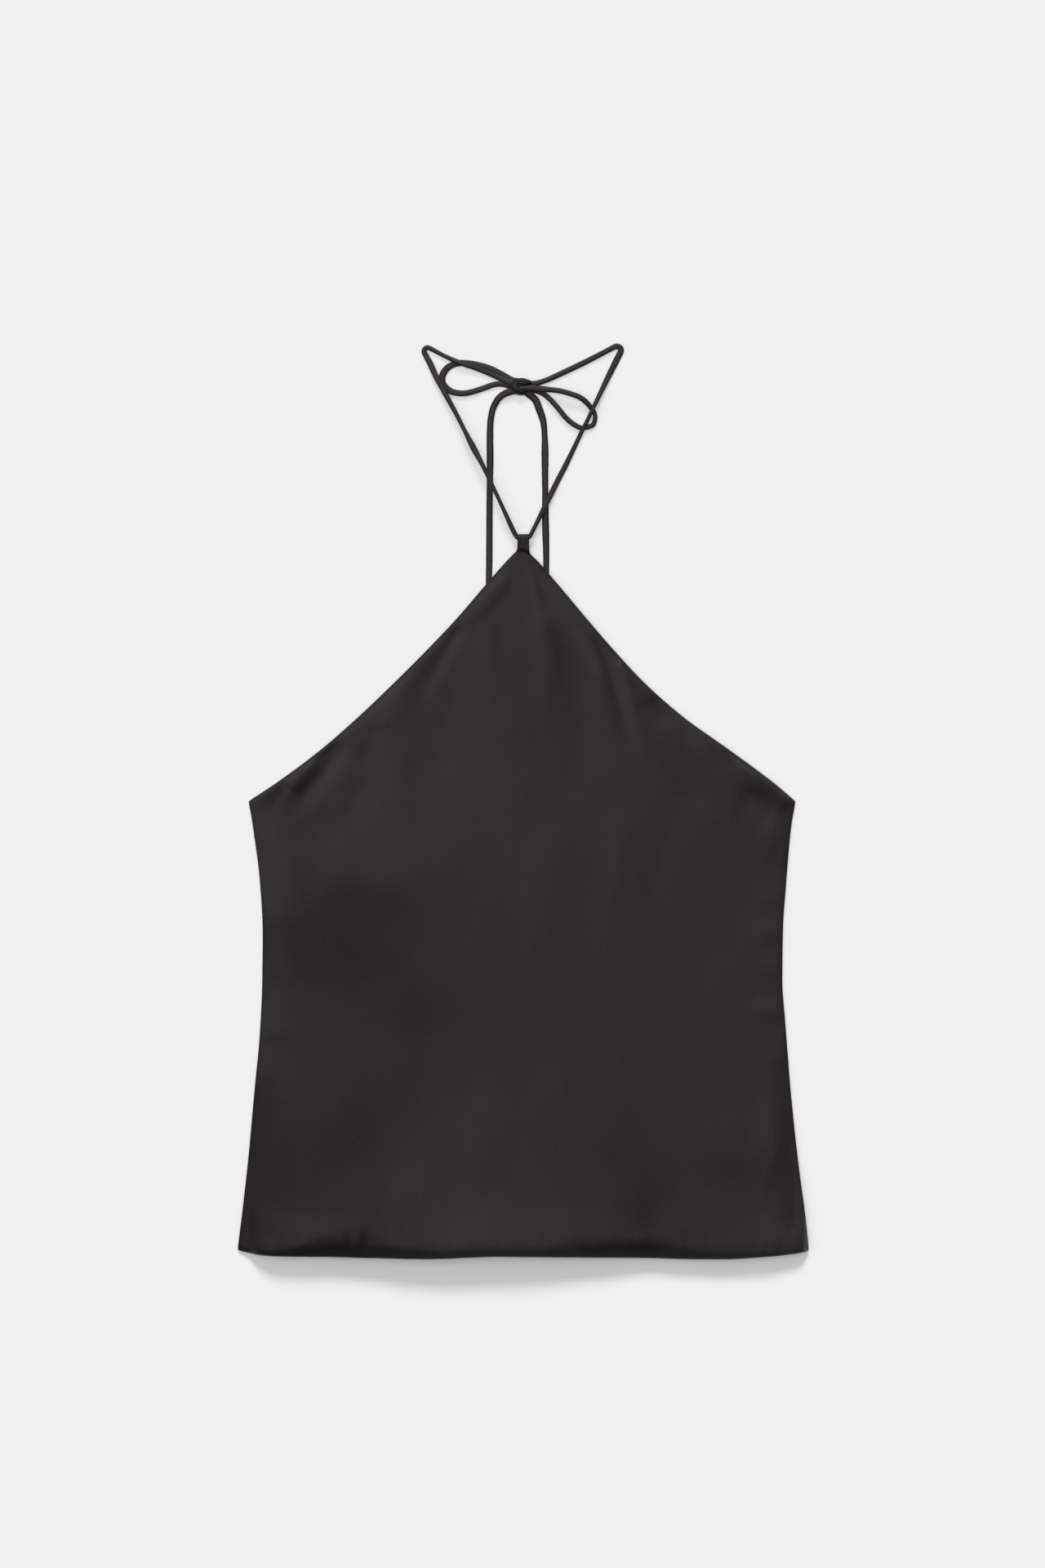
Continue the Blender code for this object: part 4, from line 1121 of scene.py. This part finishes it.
def makeStrapLoop():
    size = loopSizes
    profile = loopProfile()
    along = lengthAlong(profile)
    u = crowded(size["columns"] + 1, size["crowding"])
    rows, cloth = [], []
    for (up, z), gone in zip(profile, along):
        nearSeam = float(ease(size["tieUp"] - size["throat"], size["seamUp"], up))
        across = size["centre"] + (0.5 * size["width"] + size["flare"] * nearSeam ** 2) * u
        drop = (size["seamSlant"] * across + size["seamBend"] * across ** 2) * nearSeam
        level = size["tieHeight"] + (size["seamHeight"] - size["tieHeight"]) * nearSeam
        rows.append(np.stack((across, up - drop, np.full_like(across, level + z)), axis=-1))
        cloth.append(np.stack((across, np.full_like(across, gone)), axis=-1))
    places, cloth = (np.array(table).transpose(1, 0, 2) * mm for table in (rows, cloth))
    piece = clothGrid("strapLoop", places, cloth, loopSatin)
    # the strip's folded edges are rounder than its middle; painted shade darkens its edges, the top of its
    # fold and both ends at the seam
    inward = np.clip(0.5 * size["width"] * (1 - np.abs(u)) / size["edgeRound"], 0.0, 1.0)
    full = np.repeat(size["thin"] + (1 - size["thin"]) * np.sqrt(1 - (1 - inward) ** 2), len(profile))
    topFold = np.clip((profile[:, 0] - size["tieUp"]) / size["inner"], 0.0, 1.0) ** size["foldShadePower"]
    seamEnd = np.exp(-(np.minimum(along, along[-1] - along) / size["seamShade"]) ** 2)
    addPaintedShading(piece, np.maximum.outer((1 - inward) ** 2, np.maximum(topFold, seamEnd)) * -size["edgeShade"])
    return addWall(piece, size["wall"] * mm, full)


strapLoop = makeStrapLoop()
dress(strapLoop, "loop_satin", "strap_loop")
print("strap loop made")


# Floor and light

studio = {
    "floorShade": 0.789,
    "floorRoughness": 0.9,
    "floorGrain": 900.0,
    "floorGrainShare": 0.008,
    "floorSize": 40.0,
    "keyStrength": 2.28,
    "keyHeight": 35.0,  # degrees above the floor, from the neck's side
    "keySize": 16.0,
    "keyPastTies": 0.6,  # share of the key light that goes past the thin ties without a shadow
    "fillStrength": 1.21,  # from straight above, for the floor alone
    "fillSize": 50.0,
    "worldLow": 0.14,  # near the floor
    "worldHigh": 0.17,  # overhead
    "worldTop": 0.9,  # how far up it is reached
    "boxLight": 0.95,  # a large soft box, high on the left
    "boxHeight": 58.0,
    "boxTurn": 75.0,  # from the neck's side towards the left
    "boxInner": 10.0,
    "boxOuter": 45.0,
}


def makeFloor():
    mesh = bpy.data.meshes.new("floor")
    half = studio["floorSize"] / 2
    corners = [(-half, -half, 0), (half, -half, 0), (half, half, 0), (-half, half, 0)]
    mesh.from_pydata(corners, [], [(0, 1, 2, 3)])
    material, flow, surface = newMaterial("floorPaper")
    place = flow.node("ShaderNodeTexCoord", None, None, "Object")
    grain = clothNoise(place, studio["floorGrain"], 2.0, "3D")
    shade = studio["floorShade"] + (grain - 0.5) * studio["floorGrainShare"]
    plug(flow.node("ShaderNodeCombineColor", None, {0: shade, 1: shade, 2: shade}), surface, "Base Color")
    surface.inputs["Roughness"].default_value = studio["floorRoughness"]
    surface.inputs["Specular IOR Level"].default_value = 0.0
    floor = newPiece("floor", mesh, material)
    return floor


def makeSun(name, strength, size, height, shadedBy=()):
    data = bpy.data.lights.new(name, "SUN")
    data.energy = strength
    data.angle = math.radians(size)
    lamp = bpy.data.objects.new(name, data)
    lamp.rotation_euler = (math.radians(height - 90.0), 0.0, 0.0)
    bpy.context.collection.objects.link(lamp)
    if shadedBy:
        group = bpy.data.collections.new(name + "Shades")
        for piece in shadedBy:
            group.objects.link(piece)
        lamp.light_linking.blocker_collection = group
    return lamp


def softStep(value, source, target):
    return value.node("ShaderNodeMapRange", {"interpolation_type": "SMOOTHSTEP"},
                      {"Value": value, "From Min": source[0], "From Max": source[1],
                       "To Min": target[0], "To Max": target[1]})


def makeLight(floor):
    past = studio["keyStrength"] * studio["keyPastTies"]
    makeSun("keyLight", studio["keyStrength"] - past, studio["keySize"], studio["keyHeight"])
    makeSun("keyPastTies", past, studio["keySize"], studio["keyHeight"], (frontPanel, backPanel, strapLoop))
    fill = makeSun("floorFill", studio["fillStrength"], studio["fillSize"], 90.0)
    onlyFloor = bpy.data.collections.new("onlyFloor")
    onlyFloor.objects.link(floor)
    fill.light_linking.receiver_collection = onlyFloor
    world = bpy.data.worlds.new("studio")
    bpy.context.scene.world = world
    world.use_nodes = True
    tree = world.node_tree
    tree.nodes.clear()
    flow = Flow(tree)
    look = flow.node("ShaderNodeTexCoord", None, None, "Generated")
    height = flow.node("ShaderNodeSeparateXYZ", None, {0: look}, 2)
    overhead = softStep(height, (0.0, studio["worldTop"]), (studio["worldLow"], studio["worldHigh"]))
    angle, turn = math.radians(studio["boxHeight"]), math.radians(studio["boxTurn"])
    towards = (-math.sin(turn) * math.cos(angle), math.cos(turn) * math.cos(angle), math.sin(angle))
    facing = look.vector("DOT_PRODUCT", towards, output=1)
    edges = [math.cos(math.radians(studio[edge])) for edge in ("boxOuter", "boxInner")]
    box = softStep(facing, edges, (0.0, studio["boxLight"]))
    backdrop = tree.nodes.new("ShaderNodeBackground")
    tree.links.new((overhead + box).socket, backdrop.inputs["Strength"])
    leave = tree.nodes.new("ShaderNodeOutputWorld")
    tree.links.new(backdrop.outputs[0], leave.inputs[0])
    bpy.context.scene.view_settings.view_transform = "Standard"


makeLight(makeFloor())
print("floor and light made")
